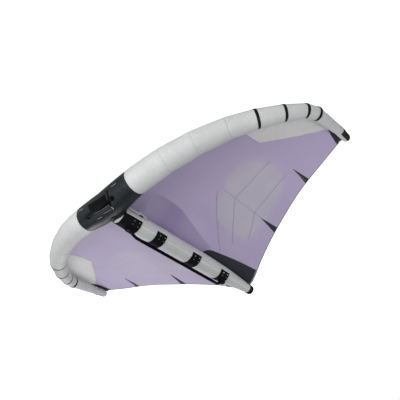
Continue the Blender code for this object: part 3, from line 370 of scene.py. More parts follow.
def math_node(tree, operation, first, second=0.0, third=0.0):
    return shader_node(tree, "Math", {0: first, 1: second, 2: third}, operation=operation).outputs[0]


def times(tree, first, second):
    return math_node(tree, "MULTIPLY", first, second)


def plus(tree, first, second):
    return math_node(tree, "ADD", first, second)


def mix_colour(tree, factor, first, second):
    return shader_node(tree, "Mix", {0: factor, 6: first, 7: second}, data_type="RGBA").outputs[2]


def shaded(tree, colour, value):
    return shader_node(tree, "HueSaturation", {"Color": colour, "Value": value}).outputs[0]


def noise(tree, place, scale, detail, **more):
    inputs = {"Vector": place, "Scale": scale, "Detail": detail, **more}
    return shader_node(tree, "TexNoise", inputs).outputs["Fac"]


def object_place(tree):
    return shader_node(tree, "TexCoord").outputs["Object"]


def ramp(tree, value, low, high, to_low=0.0, to_high=1.0):
    inputs = {"Value": value, "From Min": low, "From Max": high, "To Min": to_low, "To Max": to_high}
    return shader_node(tree, "MapRange", inputs, interpolation_type="SMOOTHSTEP").outputs[0]


def new_group(name, inputs):
    """An empty shader group with these inputs: a number, a colour, or None for a vector."""
    kinds = {float: "NodeSocketFloat", tuple: "NodeSocketColor", type(None): "NodeSocketVector"}
    group = bpy.data.node_groups.new(name, "ShaderNodeTree")
    for label, default in inputs.items():
        socket = group.interface.new_socket(label, in_out="INPUT", socket_type=kinds[type(default)])
        if default is not None:
            socket.default_value = default
    return group, group.nodes.new("NodeGroupInput").outputs


def put_out(group, outputs):
    """Gives a group these outputs, each fed from inside it."""
    for label, value in outputs.items():
        kind = "NodeSocketColor" if value.type == "RGBA" else "NodeSocketFloat"
        group.interface.new_socket(label, in_out="OUTPUT", socket_type=kind)
    out = group.nodes.new("NodeGroupOutput")
    for label, value in outputs.items():
        group.links.new(value, out.inputs[label])
    return group


def weave_group():
    """Over and under threads of a plain weave, with a stronger thread every few millimetres."""
    group, given = new_group("Plain Weave", {"Vector": None, "Threads": 900.0, "Ripstop": 0.0})
    inputs = {0: given["Vector"], "Scale": given["Threads"]}
    scaled = shader_node(group, "VectorMath", inputs, operation="SCALE").outputs[0]
    sides = shader_node(group, "SeparateXYZ", {0: scaled}).outputs[:2]
    waves = [math_node(group, "SINE", times(group, side, TURN)) for side in sides]
    weave = times(group, *waves)
    lines = []
    for side in sides:
        place = math_node(group, "FRACT", times(group, side, 0.14))
        lines.append(math_node(group, "GREATER_THAN", place, 0.86))
    strong = times(group, math_node(group, "MAXIMUM", *lines), given["Ripstop"])
    height = plus(group, times(group, weave, 0.35), strong)
    tone = math_node(group, "MULTIPLY_ADD", strong, 0.5, noise(group, scaled, 0.21, 3.0))
    return put_out(group, {"Height": height, "Tone": tone})


def handling_group():
    """The faint clouding and creasing that cloth and plastic get from being used."""
    inputs = {"Color": (0.5, 0.5, 0.5, 1.0), "Roughness": 0.5, "Amount": 0.5}
    group, given = new_group("Handling Marks", inputs)
    place = object_place(group)
    cloud = noise(group, place, 2.6, 4.0, Roughness=0.55)
    fine = times(group, noise(group, place, 34.0, 3.0, Roughness=0.6), 0.4)
    shade = ramp(group, plus(group, cloud, fine), 0.45, 0.95)
    lift = times(group, math_node(group, "SUBTRACT", shade, 0.5), given["Amount"])
    marked = shaded(group, given["Color"], plus(group, lift, 1.0))
    rough = plus(group, given["Roughness"], times(group, lift, -0.6))
    stretched = shader_node(group, "Mapping", {"Vector": place, "Scale": (5.0, 11.0, 7.0)})
    folds = noise(group, stretched.outputs[0], 1.4, 2.0, Distortion=0.6)
    return put_out(group, {"Color": marked, "Roughness": rough, "Crease": folds})


def stitch_group():
    """A row of stitches at a set distance from a seam."""
    inputs = {"Distance": 0.0, "Along": 0.0, "Offset": 0.004, "Pitch": 0.004}
    group, given = new_group("Stitch Row", inputs)
    away = math_node(group, "ABSOLUTE", math_node(group, "SUBTRACT", given["Distance"], given["Offset"]))
    row = ramp(group, away, 0.0005, 0.0011, 1.0, 0.0)
    beat = math_node(group, "FRACT", math_node(group, "DIVIDE", given["Along"], given["Pitch"]))
    stitch = math_node(group, "LESS_THAN", beat, 0.72)
    return put_out(group, {"Mask": times(group, row, stitch)})


def grain_group():
    """The fine leather-like grain of a moulded part."""
    group, given = new_group("Moulded Grain", {"Scale": 900.0, "Roughness": 0.5})
    place = object_place(group)
    cells = shader_node(group, "TexVoronoi", {"Vector": place, "Scale": given["Scale"]})
    wear = math_node(group, "SUBTRACT", noise(group, place, 60.0, 3.0), 0.5)
    rough = math_node(group, "MULTIPLY_ADD", wear, 0.3, given["Roughness"])
    return put_out(group, {"Height": cells.outputs["Distance"], "Roughness": rough})


GROUPS = {}


def use_group(tree, name, inputs):
    """Places a shared group, which is built the first time it is used."""
    makers = {"weave": weave_group, "handling": handling_group, "stitch": stitch_group, "grain": grain_group}
    if name not in GROUPS:
        GROUPS[name] = makers[name]()
    return shader_node(tree, "Group", inputs, node_tree=GROUPS[name]).outputs


def new_material(name):
    material = bpy.data.materials.new(name)
    material.use_nodes = True
    tree = material.node_tree
    return material, tree, tree.nodes["Principled BSDF"]


def coat(tree, shader, colour, roughness, gloss, height, strength, distance):
    """Feeds the shader its colour, roughness and bump."""
    tree.links.new(colour, shader.inputs["Base Color"])
    tree.links.new(roughness, shader.inputs["Roughness"])
    shader.inputs["Specular IOR Level"].default_value = gloss
    made = shader_node(tree, "Bump", {"Height": height, "Strength": strength, "Distance": distance})
    tree.links.new(made.outputs[0], shader.inputs["Normal"])


def attribute(tree, name):
    return shader_node(tree, "Attribute", attribute_name=name).outputs["Fac"]


def rgba(colour):
    return (*colour[:3], 1.0)


def cloth_place(tree):
    return shader_node(tree, "UVMap", uv_map="Cloth").outputs[0]


def stitch_row(tree, away, place, offset):
    """Where a row of stitches lies that runs along a seam on the piece's UV map in metres."""
    split = shader_node(tree, "SeparateXYZ", {0: place}).outputs
    along = plus(tree, split[0], split[1])
    return use_group(tree, "stitch", {"Distance": away, "Along": along, "Offset": offset})["Mask"]


# Where a seam's own shade starts and ends, in metres from the seam, and how light it is: dark for seams in
# general, pale for the sleeves' taped seams, whose pale line is partly real tape and partly a painted
# highlight
DARK_SEAM, PALE_TAPE_AND_HIGHLIGHT = (0.0, 0.0022, 0.86), (0.0045, 0.0065, 1.2)


def cloth(name, colour, roughness, threads, marks, gloss=0.25, seams=False, thread=None, tape=DARK_SEAM):
    """Woven cloth, with stitched seams where the piece carries a Seam attribute."""
    material, tree, shader = new_material(name)
    place = cloth_place(tree)
    weave = use_group(tree, "weave", {"Vector": place, "Threads": threads})
    worn = use_group(tree, "handling", {"Color": rgba(colour), "Roughness": roughness, "Amount": marks})
    tinted = shaded(tree, worn["Color"], ramp(tree, weave["Tone"], 0.2, 0.8, 0.94, 1.04))
    height = math_node(tree, "MULTIPLY_ADD", weave["Height"], 0.12, worn["Crease"])
    if seams:
        away = attribute(tree, "Seam")
        stitches = math_node(tree, "MAXIMUM", *(stitch_row(tree, away, place, at) for at in (0.004, 0.0115)))
        lap = ramp(tree, away, 0.0135, 0.015, 1.0, 0.0)
        # Darker at seams in general; the sleeves' paler seam line is partly a painted highlight
        tinted = shaded(tree, tinted, ramp(tree, away, *tape, 1.0))
        dark = thread or tuple(value * 0.75 for value in colour[:3])
        tinted = mix_colour(tree, times(tree, stitches, 0.5), tinted, rgba(dark))
        height = plus(tree, height, times(tree, lap, 0.5))
        height = math_node(tree, "SUBTRACT", height, times(tree, stitches, 0.35))
    coat(tree, shader, tinted, worn["Roughness"], gloss, height, 0.5, 0.0012)
    return material


def canopy_cloth(name, colour):
    """Ripstop whose middle window is greyer, with taped seams darker than the cloth, and a painted shade in
    darker violet beside the strut.
    """
    material, tree, shader = new_material(name)
    settings = bpy.context.scene.wing_settings
    place = cloth_place(tree)
    weave = use_group(tree, "weave", {"Vector": place, "Threads": 1100.0, "Ripstop": 1.0})
    base = rgba(colour)
    # Window is the window's greyer cloth; Panel is a painted shade, the darker violet beside the strut
    for label, over in (("Window", settings.window_colour), ("Panel", settings.strut_shade_colour)):
        base = mix_colour(tree, attribute(tree, label), base, rgba(over))
    worn = use_group(tree, "handling", {"Color": base, "Roughness": 0.5, "Amount": 0.07})
    tinted = shaded(tree, worn["Color"], ramp(tree, weave["Tone"], 0.2, 1.1, 0.97, 1.04))
    away, shown = attribute(tree, "Seam"), attribute(tree, "Shown")
    tape = ramp(tree, away, 0.0045, 0.0065, 1.0, 0.0)
    stitches = stitch_row(tree, away, place, 0.0035)
    for mask, depth, dark in ((tape, 0.16, (0.05, 0.045, 0.06)), (stitches, 0.35, (0.1, 0.09, 0.13))):
        strength = times(tree, times(tree, mask, shown), depth)
        tinted = mix_colour(tree, strength, tinted, rgba(dark))
    folds = times(tree, worn["Crease"], 1.5)
    height = math_node(tree, "MULTIPLY_ADD", weave["Height"], 0.1, folds)
    height = plus(tree, height, times(tree, tape, 0.25))
    coat(tree, shader, tinted, worn["Roughness"], 0.25, height, 0.45, 0.001)
    return material


def moulding(name, colour, roughness, grain=900.0, gloss=0.5, depth=0.0002, metallic=0.0):
    """A moulded or drawn surface with a fine grain."""
    material, tree, shader = new_material(name)
    grained = use_group(tree, "grain", {"Scale": grain, "Roughness": roughness})
    inputs = {"Color": rgba(colour), "Roughness": grained["Roughness"], "Amount": 0.25}
    worn = use_group(tree, "handling", inputs)
    shader.inputs["Metallic"].default_value = metallic
    coat(tree, shader, worn["Color"], worn["Roughness"], gloss, grained["Height"], 0.3, depth)
    return material


# Rows of maker, colour or the setting that holds it, roughness, and the maker's further values
FINISHES = {
    "sleeve_cloth": (cloth, "sleeve_colour", 0.55, 520.0, 0.15, 0.25, True, None, PALE_TAPE_AND_HIGHLIGHT),
    "wrap_cloth": (cloth, "wrap_colour", 0.45, 420.0, 0.3, 0.25, True, (0.06, 0.064, 0.07)),
    # Pale strips on the wrap: print, and along the recess's lower lip a painted highlight of the grip
    "print_and_highlight_strip": (cloth, (0.4, 0.42, 0.44), 0.5, 420.0, 0.2),
    # The recess cloth is near-black both as dark cloth and as painted shade under the grip
    "recess_cloth_and_shade": (cloth, (0.0045, 0.005, 0.006), 0.7, 420.0, 0.3, 0.06),
    "bumper_cloth": (cloth, (0.01, 0.0105, 0.012), 0.5, 420.0, 0.3, 0.15),
    "band_tape": (cloth, (0.007, 0.007, 0.008), 0.5, 600.0, 0.2, 0.15),
    "hem_tape": (cloth, "hem_colour", 0.6, 420.0, 0.2, 0.2),
    "canopy_ripstop": (canopy_cloth, "canopy_colour"),
    "reinforcement_cloth": (cloth, "reinforcement_colour", 0.55, 520.0, 0.12, 0.25, True),
    "patch_cloth": (cloth, "patch_colour", 0.6, 420.0, 0.25, 0.25, True, (0.09, 0.09, 0.1)),
    "webbing": (cloth, (0.004, 0.0042, 0.005), 0.7, 260.0, 0.3, 0.06),
    "grip_cover": (cloth, (0.005, 0.0055, 0.0065), 0.65, 330.0, 0.3, 0.08, True),
    "bladder_film": (moulding, (0.6, 0.63, 0.62), 0.3, 240.0),
    "pad_foam": (moulding, (0.0055, 0.006, 0.0068), 0.75, 520.0, 0.1, 0.0005),
    "boom_composite": (moulding, (0.0012, 0.0012, 0.0015), 0.45, 1500.0, 0.12),
    "boom_wrap": (moulding, (0.0015, 0.0015, 0.0018), 0.7, 700.0, 0.06, 0.0004),
    "black_moulding": (moulding, (0.004, 0.004, 0.0045), 0.5, 900.0, 0.15),
    "screw_steel": (moulding, (0.35, 0.36, 0.37), 0.38, 1600.0, 0.5, 0.0002, 1.0),
    "valve_plastic": (moulding, (0.08, 0.082, 0.088), 0.42),
    "hose_plastic": (moulding, (0.5, 0.505, 0.51), 0.4, 500.0),
    "batten_rod": (moulding, (0.55, 0.53, 0.44), 0.4, 1200.0),
}
MATERIALS = {}


def finish(name):
    """The named finish, made the first time it is asked for."""
    if name not in MATERIALS:
        maker, colour, *values = FINISHES[name]
        if isinstance(colour, str):
            colour = getattr(bpy.context.scene.wing_settings, colour)
        MATERIALS[name] = maker(name, colour, *values)
    return MATERIALS[name]


def dress(node, look):
    """Gives its finish to a node carried over from the part."""
    materials = frame["nodes"][node].data.materials
    materials.clear()
    materials.append(finish(look))


# Mesh helpers


def to_mesh(shape, name):
    mesh = bpy.data.meshes.new(name)
    shape.to_mesh(mesh)
    shape.free()
    return mesh


def bent(name, place, columns, rows, cloth_size=(1.0, 1.0), welded=False):
    """A grid whose corner shares a and b, from 0 to 1, go where place(a, b) says, with a UV map in metres."""
    grid = bmesh.new()
    grid.loops.layers.uv.new("Cloth")
    bmesh.ops.create_grid(grid, x_segments=columns, y_segments=rows, size=0.5, calc_uvs=True)
    mesh = to_mesh(grid, name)
    flat = np.empty(len(mesh.vertices) * 3)
    mesh.vertices.foreach_get("co", flat)
    shares = flat.reshape(-1, 3) + 0.5
    placed = place(shares[:, 0], shares[:, 1])
    points, values = placed if isinstance(placed, tuple) else (placed, {})
    mesh.vertices.foreach_set("co", np.ascontiguousarray(points).ravel())
    for label, numbers in values.items():
        layer = mesh.attributes.new(label, "FLOAT", "POINT")
        layer.data.foreach_set("value", np.ascontiguousarray(numbers, dtype=np.float32))
    uv = np.empty(len(mesh.loops) * 2)
    mesh.uv_layers[0].data.foreach_get("uv", uv)
    uv = uv.reshape(-1, 2) * cloth_size
    mesh.uv_layers[0].data.foreach_set("uv", uv.ravel())
    if welded:
        weld(mesh)
    mesh.update()
    return mesh


def rework(mesh, operation):
    """Runs an operation on a mesh's own faces and corners."""
    shape = bmesh.new()
    shape.from_mesh(mesh)
    operation(shape)
    shape.to_mesh(mesh)
    shape.free()


def weld(mesh):
    rework(mesh, lambda shape: bmesh.ops.remove_doubles(shape, verts=shape.verts, dist=0.00002))


def flip(mesh):
    rework(mesh, lambda shape: bmesh.ops.reverse_faces(shape, faces=shape.faces))


def add_piece(name, mesh, look, slot, replaces=(), body="wing"):
    """Links a mesh drawn level as a piece that rides on a body, standing for the nodes named."""
    mesh.transform(WING_PLACE)
    piece = bpy.data.objects.new(name, mesh)
    bpy.context.scene.collection.objects.link(piece)
    mesh.materials.clear()
    mesh.materials.append(finish(look))
    mesh.shade_smooth()
    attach(piece, body)
    if replaces:
        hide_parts(*replaces)
    return piece


def thicken(piece, wall, side=-1.0):
    modifier = piece.modifiers.new("wall", "SOLIDIFY")
    modifier.thickness = wall
    modifier.offset = side


def lay(name, place, grid, cloth_size, look, slot, replaces=(), wall=0.0, welded=False):
    """Adds a piece bent from a grid, with a wall inside its surface where one is given."""
    piece = add_piece(name, bent(name, place, *grid, cloth_size, welded), look, slot, replaces)
    if wall:
        thicken(piece, wall)
    return piece


def tube(name, points, radii, sides=32):
    """A round bar along the points, closed at both ends, as a curve made into a mesh."""
    points = np.asarray(points, float)
    radii = np.broadcast_to(radii, len(points))
    biggest = float(radii.max())
    curve = bpy.data.curves.new(name, "CURVE")
    curve.dimensions = "3D"
    curve.bevel_depth = biggest
    curve.bevel_resolution = sides // 4 - 1
    curve.use_fill_caps = True
    spline = curve.splines.new("POLY")
    spline.points.add(len(points) - 1)
    for corner, point, radius in zip(spline.points, points, radii):
        corner.co = (*point, 1.0)
        corner.radius = radius / biggest
    guide = bpy.data.objects.new(name, curve)
    bpy.context.scene.collection.objects.link(guide)
    graph = bpy.context.evaluated_depsgraph_get()
    mesh = bpy.data.meshes.new_from_object(guide.evaluated_get(graph))
    bpy.data.objects.remove(guide)
    bpy.data.curves.remove(curve)
    weld(mesh)
    if not mesh.uv_layers:
        mesh.uv_layers.new(name="Cloth")
    mesh.uv_layers[0].name = "Cloth"
    return mesh


def round_edges(shape, edges, size, segments):
    bmesh.ops.bevel(
        shape, geom=edges, offset=size, segments=segments, profile=0.5, affect="EDGES", material=-1
    )


def spun(name, profile, place, steps=64):
    """A profile of radius and height, spun about local Z, with its sharp edges rounded."""
    shape = bmesh.new()
    corners = [shape.verts.new((radius, 0.0, height)) for radius, height in profile]
    is_ring = profile[0][0] > 0.0
    pairs = zip(corners, corners[1:] + corners[:1] if is_ring else corners[1:])
    edges = [shape.edges.new(pair) for pair in pairs]
    spin = {"cent": (0, 0, 0), "axis": (0, 0, 1), "angle": TURN, "steps": steps, "use_merge": True}
    bmesh.ops.spin(shape, geom=corners + edges, **spin)
    bmesh.ops.remove_doubles(shape, verts=shape.verts, dist=0.000005)
    bmesh.ops.recalc_face_normals(shape, faces=shape.faces)
    sharp = [edge for edge in shape.edges if len(edge.link_faces) == 2 and edge.calc_face_angle(0) > 0.6]
    round_edges(shape, sharp, 0.0004, 2)
    bmesh.ops.transform(shape, matrix=place, verts=shape.verts)
    return to_mesh(shape, name)


def pin(name, radius, half, place):
    """A short round bar along the place's Z."""
    return spun(name, [(0.0, half), (radius, half), (radius, -half), (0.0, -half)], place, 24)


def block(name, size, place, rounding, segments=3):
    shape = bmesh.new()
    bmesh.ops.create_cube(shape, size=1.0, matrix=Matrix.Diagonal((*size, 1.0)))
    round_edges(shape, shape.edges[:], rounding, segments)
    bmesh.ops.transform(shape, matrix=place, verts=shape.verts)
    return to_mesh(shape, name)


def facing(point, normal, toward):
    """A place whose Z runs along normal and whose X runs as near to toward as it can."""
    z = Vector(normal).normalized()
    y = z.cross(Vector(toward)).normalized()
    return Matrix.Translation(Vector(point)) @ Matrix((y.cross(z), y, z)).transposed().to_4x4()


def shifted(place, x, z):
    """A place moved along its own X and Z."""
    return place @ Matrix.Translation((x, 0, z))


def joined(name, meshes):
    """Several meshes as the loose parts of one."""
    shape = bmesh.new()
    for mesh in meshes:
        shape.from_mesh(mesh)
        bpy.data.meshes.remove(mesh)
    return to_mesh(shape, name)


# Leading edge


def pucker(turn, away, seed, bend):
    """Small gathers that run out of a sewn seam, deepest on the inside of the bend."""
    waves = np.zeros_like(turn)
    for index, (count, phase) in enumerate(((9, 0.3), (14, 1.7), (19, 4.1), (23, 2.2))):
        waves += np.sin(count * turn + phase * (seed + 1) + 1.3 * index * seed)
    inside = 0.3 + 0.7 * np.clip(np.cos(turn), 0, 1) * bend
    return 0.00045 * waves * inside * np.exp(-away / 0.035)


def cut_corners(span, corners):
    """How far straight lengths of tube between the corners lie from the smooth curve."""
    ends = edge_at(np.asarray(corners))[:, :3]
    straight = np.stack([np.interp(span, corners, column) for column in ends.T], -1)
    return straight - edge_at(span)[..., :3]


def sleeve_place(start, end, seed, seam_depth, bend, corners=None):
    """Where a stretch of sleeve lies: pinched at its seams, a little fuller and straight between them."""
    length = (end - start) * ARM_LENGTH

    def place(a, b):
        turn = -TURN * b
        away = np.minimum(a, 1 - a) * length
        full = 0.0016 * np.sin(math.pi * a)
        pinch = crease(away, seam_depth, 0.008)
        gather = pucker(turn, away, seed, bend)
        slack = 4 * a * (1 - a) * 0.002 * bend
        span = start + (end - start) * a
        points = on_edge(span, turn, full - pinch + gather, -slack)
        if corners:
            points = points + cut_corners(span, corners)
        return points, {"Seam": away}

    return place


def build_sleeve(name, start, end, seed, look, slot, node, bend=1.0, sides=96, corners=None):
    length = abs(end - start) * ARM_LENGTH
    girth = TURN * float(edge_at((start + end) / 2)[3])
    seam_depth = bpy.context.scene.wing_settings.seam_depth
    place = sleeve_place(start, end, seed, seam_depth, bend, corners)
    grid = (max(12, round(length / 0.012)), sides)
    lay(name, place, grid, (length, girth), look, slot, (node,), SLEEVE_WALL, True)


def band(name, span, width, lift):
    """A tape sewn round the leading edge."""
    half = width / 2 / ARM_LENGTH
    girth = TURN * float(edge_at(span)[3])

    def place(a, b):
        crown = BAND_THICKNESS * (1 - (2 * a - 1) ** 6)
        points = on_edge(span + half * (2 * a - 1), -TURN * b, lift + crown)
        return points, {"Seam": np.minimum(a, 1 - a) * width}

    lay(name, place, (10, 96), (width, girth), "band_tape", "black_wrap", (), TAPE_WALL, True)


class WING_OT_leading_edge(bpy.types.Operator):
    """Sews the leading edge: the black wrap, the gores of both arms, their bands and the tips"""

    bl_idname = "wing.leading_edge"
    bl_label = "Leading Edge"

    def execute(self, context):
        node = "leading_edge_centre_wrap"
        build_sleeve("centre_wrap", *WRAP_ENDS, 0, "wrap_cloth", "black_wrap", node, 0.2, 128)
        for (side, sign), wrap_end in zip(SIDES, WRAP_ENDS):
            seams = (abs(wrap_end), *GORE_SEAMS, *BAND_SPANS[side][:3], LAST_SEAM)
            bend = sign * BAND_SPANS[side][-1]
            for number, (start, end) in enumerate(zip(seams, seams[1:]), 1):
                low, high = sorted((sign * start, sign * end))
                corners = [low, bend, high] if low < bend < high else [low, high]
                build_sleeve(
                    f"gore_{side}_{number}",
                    low,
                    high,
                    number + (3 if sign > 0 else 0),
                    "sleeve_cloth",
                    "light_sleeve",
                    f"leading_edge_gore_{side}_{number}",
                    corners=corners if number > 1 else None,
                )
            for number, span in enumerate(BAND_SPANS[side], 1):
                lift = LAST_BAND_LIFT if number == len(BAND_SPANS[side]) else 0.0
                band(f"band_{side}_{number}", sign * span, context.scene.wing_settings.band_width, lift)
            self.tip(side, sign)
        return {"FINISHED"}

    def tip(self, side, sign):
        """The last stretch of an arm, its dome, and the black bumper over its outer side."""
        start = LAST_SEAM
        straight_share = 0.6
        reach_in = (TIP_CAP_SHARE - start) * ARM_LENGTH / straight_share

        def dome(inward, around, lift):
            turn = np.clip(inward - straight_share, 0, 1) / (1 - straight_share) * math.pi / 2
            straight = np.minimum(inward / straight_share, 1)
            here = edge_at(sign * (start + (TIP_CAP_SHARE - start) * straight))
            reach = here[:, 3] + lift
            centre = here[:, :3] + sign * here[:, 4:7] * (reach * np.sin(turn))[:, None]
            out = np.cos(around)[:, None] * here[:, 7:10] + np.sin(around)[:, None] * here[:, 10:13]
            return centre + (reach * np.cos(turn))[:, None] * out

        def place(a, b):
            inward = a if sign > 0 else 1 - a
            return dome(inward, -TURN * b, 0.0), {"Seam": inward * reach_in}

        name, look, node = f"tip_end_{side}", ("sleeve_cloth", "light_sleeve"), (f"tip_cap_{side}",)
        lay(name, place, (40, 72), (0.2, 0.22), *look, node, SLEEVE_WALL, True)

        def bumper(a, b):
            inward = a if sign > 0 else 1 - a
            around = np.radians(BUMPER_ANGLES[0] + (BUMPER_ANGLES[1] - BUMPER_ANGLES[0]) * (1 - b))
            shown = 0.06 + 0.94 * inward
            away = np.minimum(shown - 0.06, np.minimum(b, 1 - b) * 0.9) * 0.11
            return dome(shown, around, 0.0006 + 0.0016 * soft_edge(away)), {"Seam": away}

        name = f"tip_bumper_{side}"
        lay(name, bumper, (40, 40), (0.15, 0.09), "bumper_cloth", "black_wrap", (), TAPE_WALL, True)


class WING_OT_bladders(bpy.types.Operator):
    """Puts the air bladders inside the leading edge and the strut"""

    bl_idname = "wing.bladders"
    bl_label = "Bladders"

    def execute(self, context):
        film = ("bladder_film", "clear_bladder")
        steps = np.linspace(-0.95, 0.95, 121)
        rows = edge_at(steps)
        bends = (STRAIGHT_FROM, BAND_SPANS["left"][-1], LAST_SEAM)
        bends = [-span for span in bends[::-1]] + list(bends)
        inward = cut_corners(steps, bends) * (np.abs(steps) > STRAIGHT_FROM)[:, None]
        mesh = tube("edge_bladder", rows[:, :3] + inward, rows[:, 3] - BLADDER_GAP)
        add_piece("edge_bladder", mesh, *film, ("leading_edge_bladder",))
        front = edge_at(0.0)
        y = np.linspace(front[1] + front[3] + 0.02, STRUT_TAIL_Y - 0.05, 40)
        points = np.stack([0 * y, y, 0 * y + STRUT_AXIS_HEIGHT], -1)
        mesh = tube("strut_bladder_film", points, strut_radius(y) - BLADDER_GAP)
        add_piece("strut_bladder_film", mesh, *film, ("strut_bladder",))
        return {"FINISHED"}


# Strut


def cope_start(angle):
    """How far forward the strut's skin reaches at an angle before it meets the leading edge."""
    y = np.full_like(angle, 0.16)
    for _ in range(40):
        point = on_strut(y, angle)
        here = edge_at(point[..., 0] / ARM_LENGTH)
        height = point[..., 2] - here[..., 2]
        y = here[..., 1] + np.sqrt(np.maximum(here[..., 3] ** 2 - height**2, 0)) + 0.0006
    return np.maximum(y, STRUT_FRONT_Y)


def collar_end(angle):
    """How far aft the wrap's collar reaches on the strut: least on top, more down its sides."""
    return 0.115 + 0.044 * np.sin(np.minimum(np.abs(angle), math.radians(115))) ** 2


class WING_OT_strut(bpy.types.Operator):
    """Sews the strut's sleeve from the leading edge to the tail, with its collar and tail cap"""

    bl_idname = "wing.strut"
    bl_label = "Strut"

    def execute(self, context):
        # The seams at 49 degrees carry pale tape that is partly a painted highlight along the strut
        seams = np.radians((-118.0, -49.0, 49.0, 118.0))

        def place(a, b):
            angle = -TURN * b
            start = cope_start(angle)
            y = start + (STRUT_TAIL_Y - start) * a
            turn = np.mod(angle + math.pi, TURN) - math.pi
            away = np.min(np.abs(turn[:, None] - seams[None, :]), axis=1) * strut_radius(y)
            sag = crease(away, 0.0012, 0.006)
            ripple = 0.0004 * np.sin(70 * y + 5 * np.sin(9 * y)) * np.exp(-away / 0.02)
            near_front = np.exp(-((y - start) / 0.04))
            gather = 0.0009 * near_front * (np.sin(13 * angle) + np.sin(21 * angle + 1.0))
            return on_strut(y, angle, ripple + gather - sag), {"Seam": away}

        look, node = ("sleeve_cloth", "light_sleeve"), ("strut_sleeve",)
        lay("strut_cover", place, (150, 96), (1.69, 0.52), *look, node, SLEEVE_WALL, True)
        self.collar()
        self.tail()
        return {"FINISHED"}

    def collar(self):
        """The part of the centre's black wrap that runs on over the strut's front."""
        half = math.radians(112)

        def place(a, b):
            angle = half * (2 * a - 1)
            start, end = cope_start(angle), collar_end(angle)
            y = start + (np.maximum(end, start + 0.004) - start) * b
            away = end - y
            gather = 0.0004 * np.sin(17 * angle) * np.exp(-away / 0.02)
            return on_strut(y, angle, 0.0008 + 0.002 * soft_edge(away) + gather), {"Seam": away}

        lay("strut_collar", place, (96, 16), (0.45, 0.08), "wrap_cloth", "black_wrap", (), SLEEVE_WALL)

    def tail(self):
        inner, outer = tail_cap_radii()
        back = TAIL_CAP_LENGTH - TAIL_CAP_OVERLAP
        profile = [(0.0, back), (outer * 0.42, back)]
        for step in np.linspace(0.12, 1.0, 9):
            angle = step * math.pi / 2
            profile.append((outer * (0.42 + 0.58 * math.sin(angle)), back * (0.42 + 0.58 * math.cos(angle))))
        profile += [(outer, 0.002), (outer - 0.0006, 0.0), (outer, -0.002)]
        profile += [(outer, -TAIL_CAP_OVERLAP), (inner, -TAIL_CAP_OVERLAP)]
        profile += [(inner, SEAT_GAP), (0.0, SEAT_GAP)]
        place = facing((0, STRUT_TAIL_Y, STRUT_AXIS_HEIGHT), (0, 1, 0), (1, 0, 0))
        mesh = spun("tail_cap", profile, place)
        add_piece("tail_cap", mesh, "black_moulding", "black_moulding", ("strut_tail_cap",))


# Canopy

CANOPY_SEAMS = (
    ((0.535, 0.533), (0.409, 0.567), (0.302, 0.573), (0.232, 0.654), (0.119, 0.757)),
    ((0.299, 0.462), (0.302, 0.573), (0.312, 0.768), (0.316, 0.846)),
    ((0.557, 0.753), (0.428, 0.769), (0.312, 0.768), (0.254, 0.813), (0.189, 0.841)),
    ((0.275, 0.436), (0.224, 0.499), (0.149, 0.593), (0.063, 0.687)),
)
WINDOW_OUTLINE = (
    (0.307, 0.457),
    (0.371, 0.391),
    (0.441, 0.389),
    (0.524, 0.525),
    (0.539, 0.652),
    (0.518, 0.79),
    (0.443, 0.859),
    (0.346, 0.874),
    (0.237, 0.857),
    (0.184, 0.811),
    (0.153, 0.715),
    (0.162, 0.617),
    (0.214, 0.52),
)


def distance_to_line(points, corners):
    """The distance from each point to a line through the corners."""
    best = np.full(len(points), 9.0)
    for first, second in zip(corners, corners[1:]):
        step = second - first
        share = np.clip((points - first) @ step / (step @ step), 0, 1)
        gap = np.linalg.norm(points - first - share[:, None] * step, axis=1)
        best = np.minimum(best, gap)
    return best


def line_on_canopy(corners):
    corners = np.array(corners)
    steps = np.linspace(0, len(corners) - 1, 8 * (len(corners) - 1) + 1)
    span = np.interp(steps, range(len(corners)), corners[:, 0])
    chord = np.interp(steps, range(len(corners)), corners[:, 1])
    return canopy_point(span, chord)


def in_window(half, chord):
    """1 inside the canopy's rounded window, 0 outside it, with a soft edge."""
    outline = np.array(WINDOW_OUTLINE)
    middle = outline.mean(axis=0)
    across, back = (outline - middle).T
    turn = np.arctan2(chord - middle[1], half - middle[0])
    reach = np.interp(turn, np.arctan2(back, across), np.hypot(across, back), period=TURN)
    return 1 / (1 + np.exp((np.hypot(half - middle[0], chord - middle[1]) / reach - 1) / WINDOW_EDGE))


def reinforcement_edge(span):
    spans, chords = zip(*REINFORCEMENT_EDGE)
    return np.interp(np.abs(span), spans, chords)


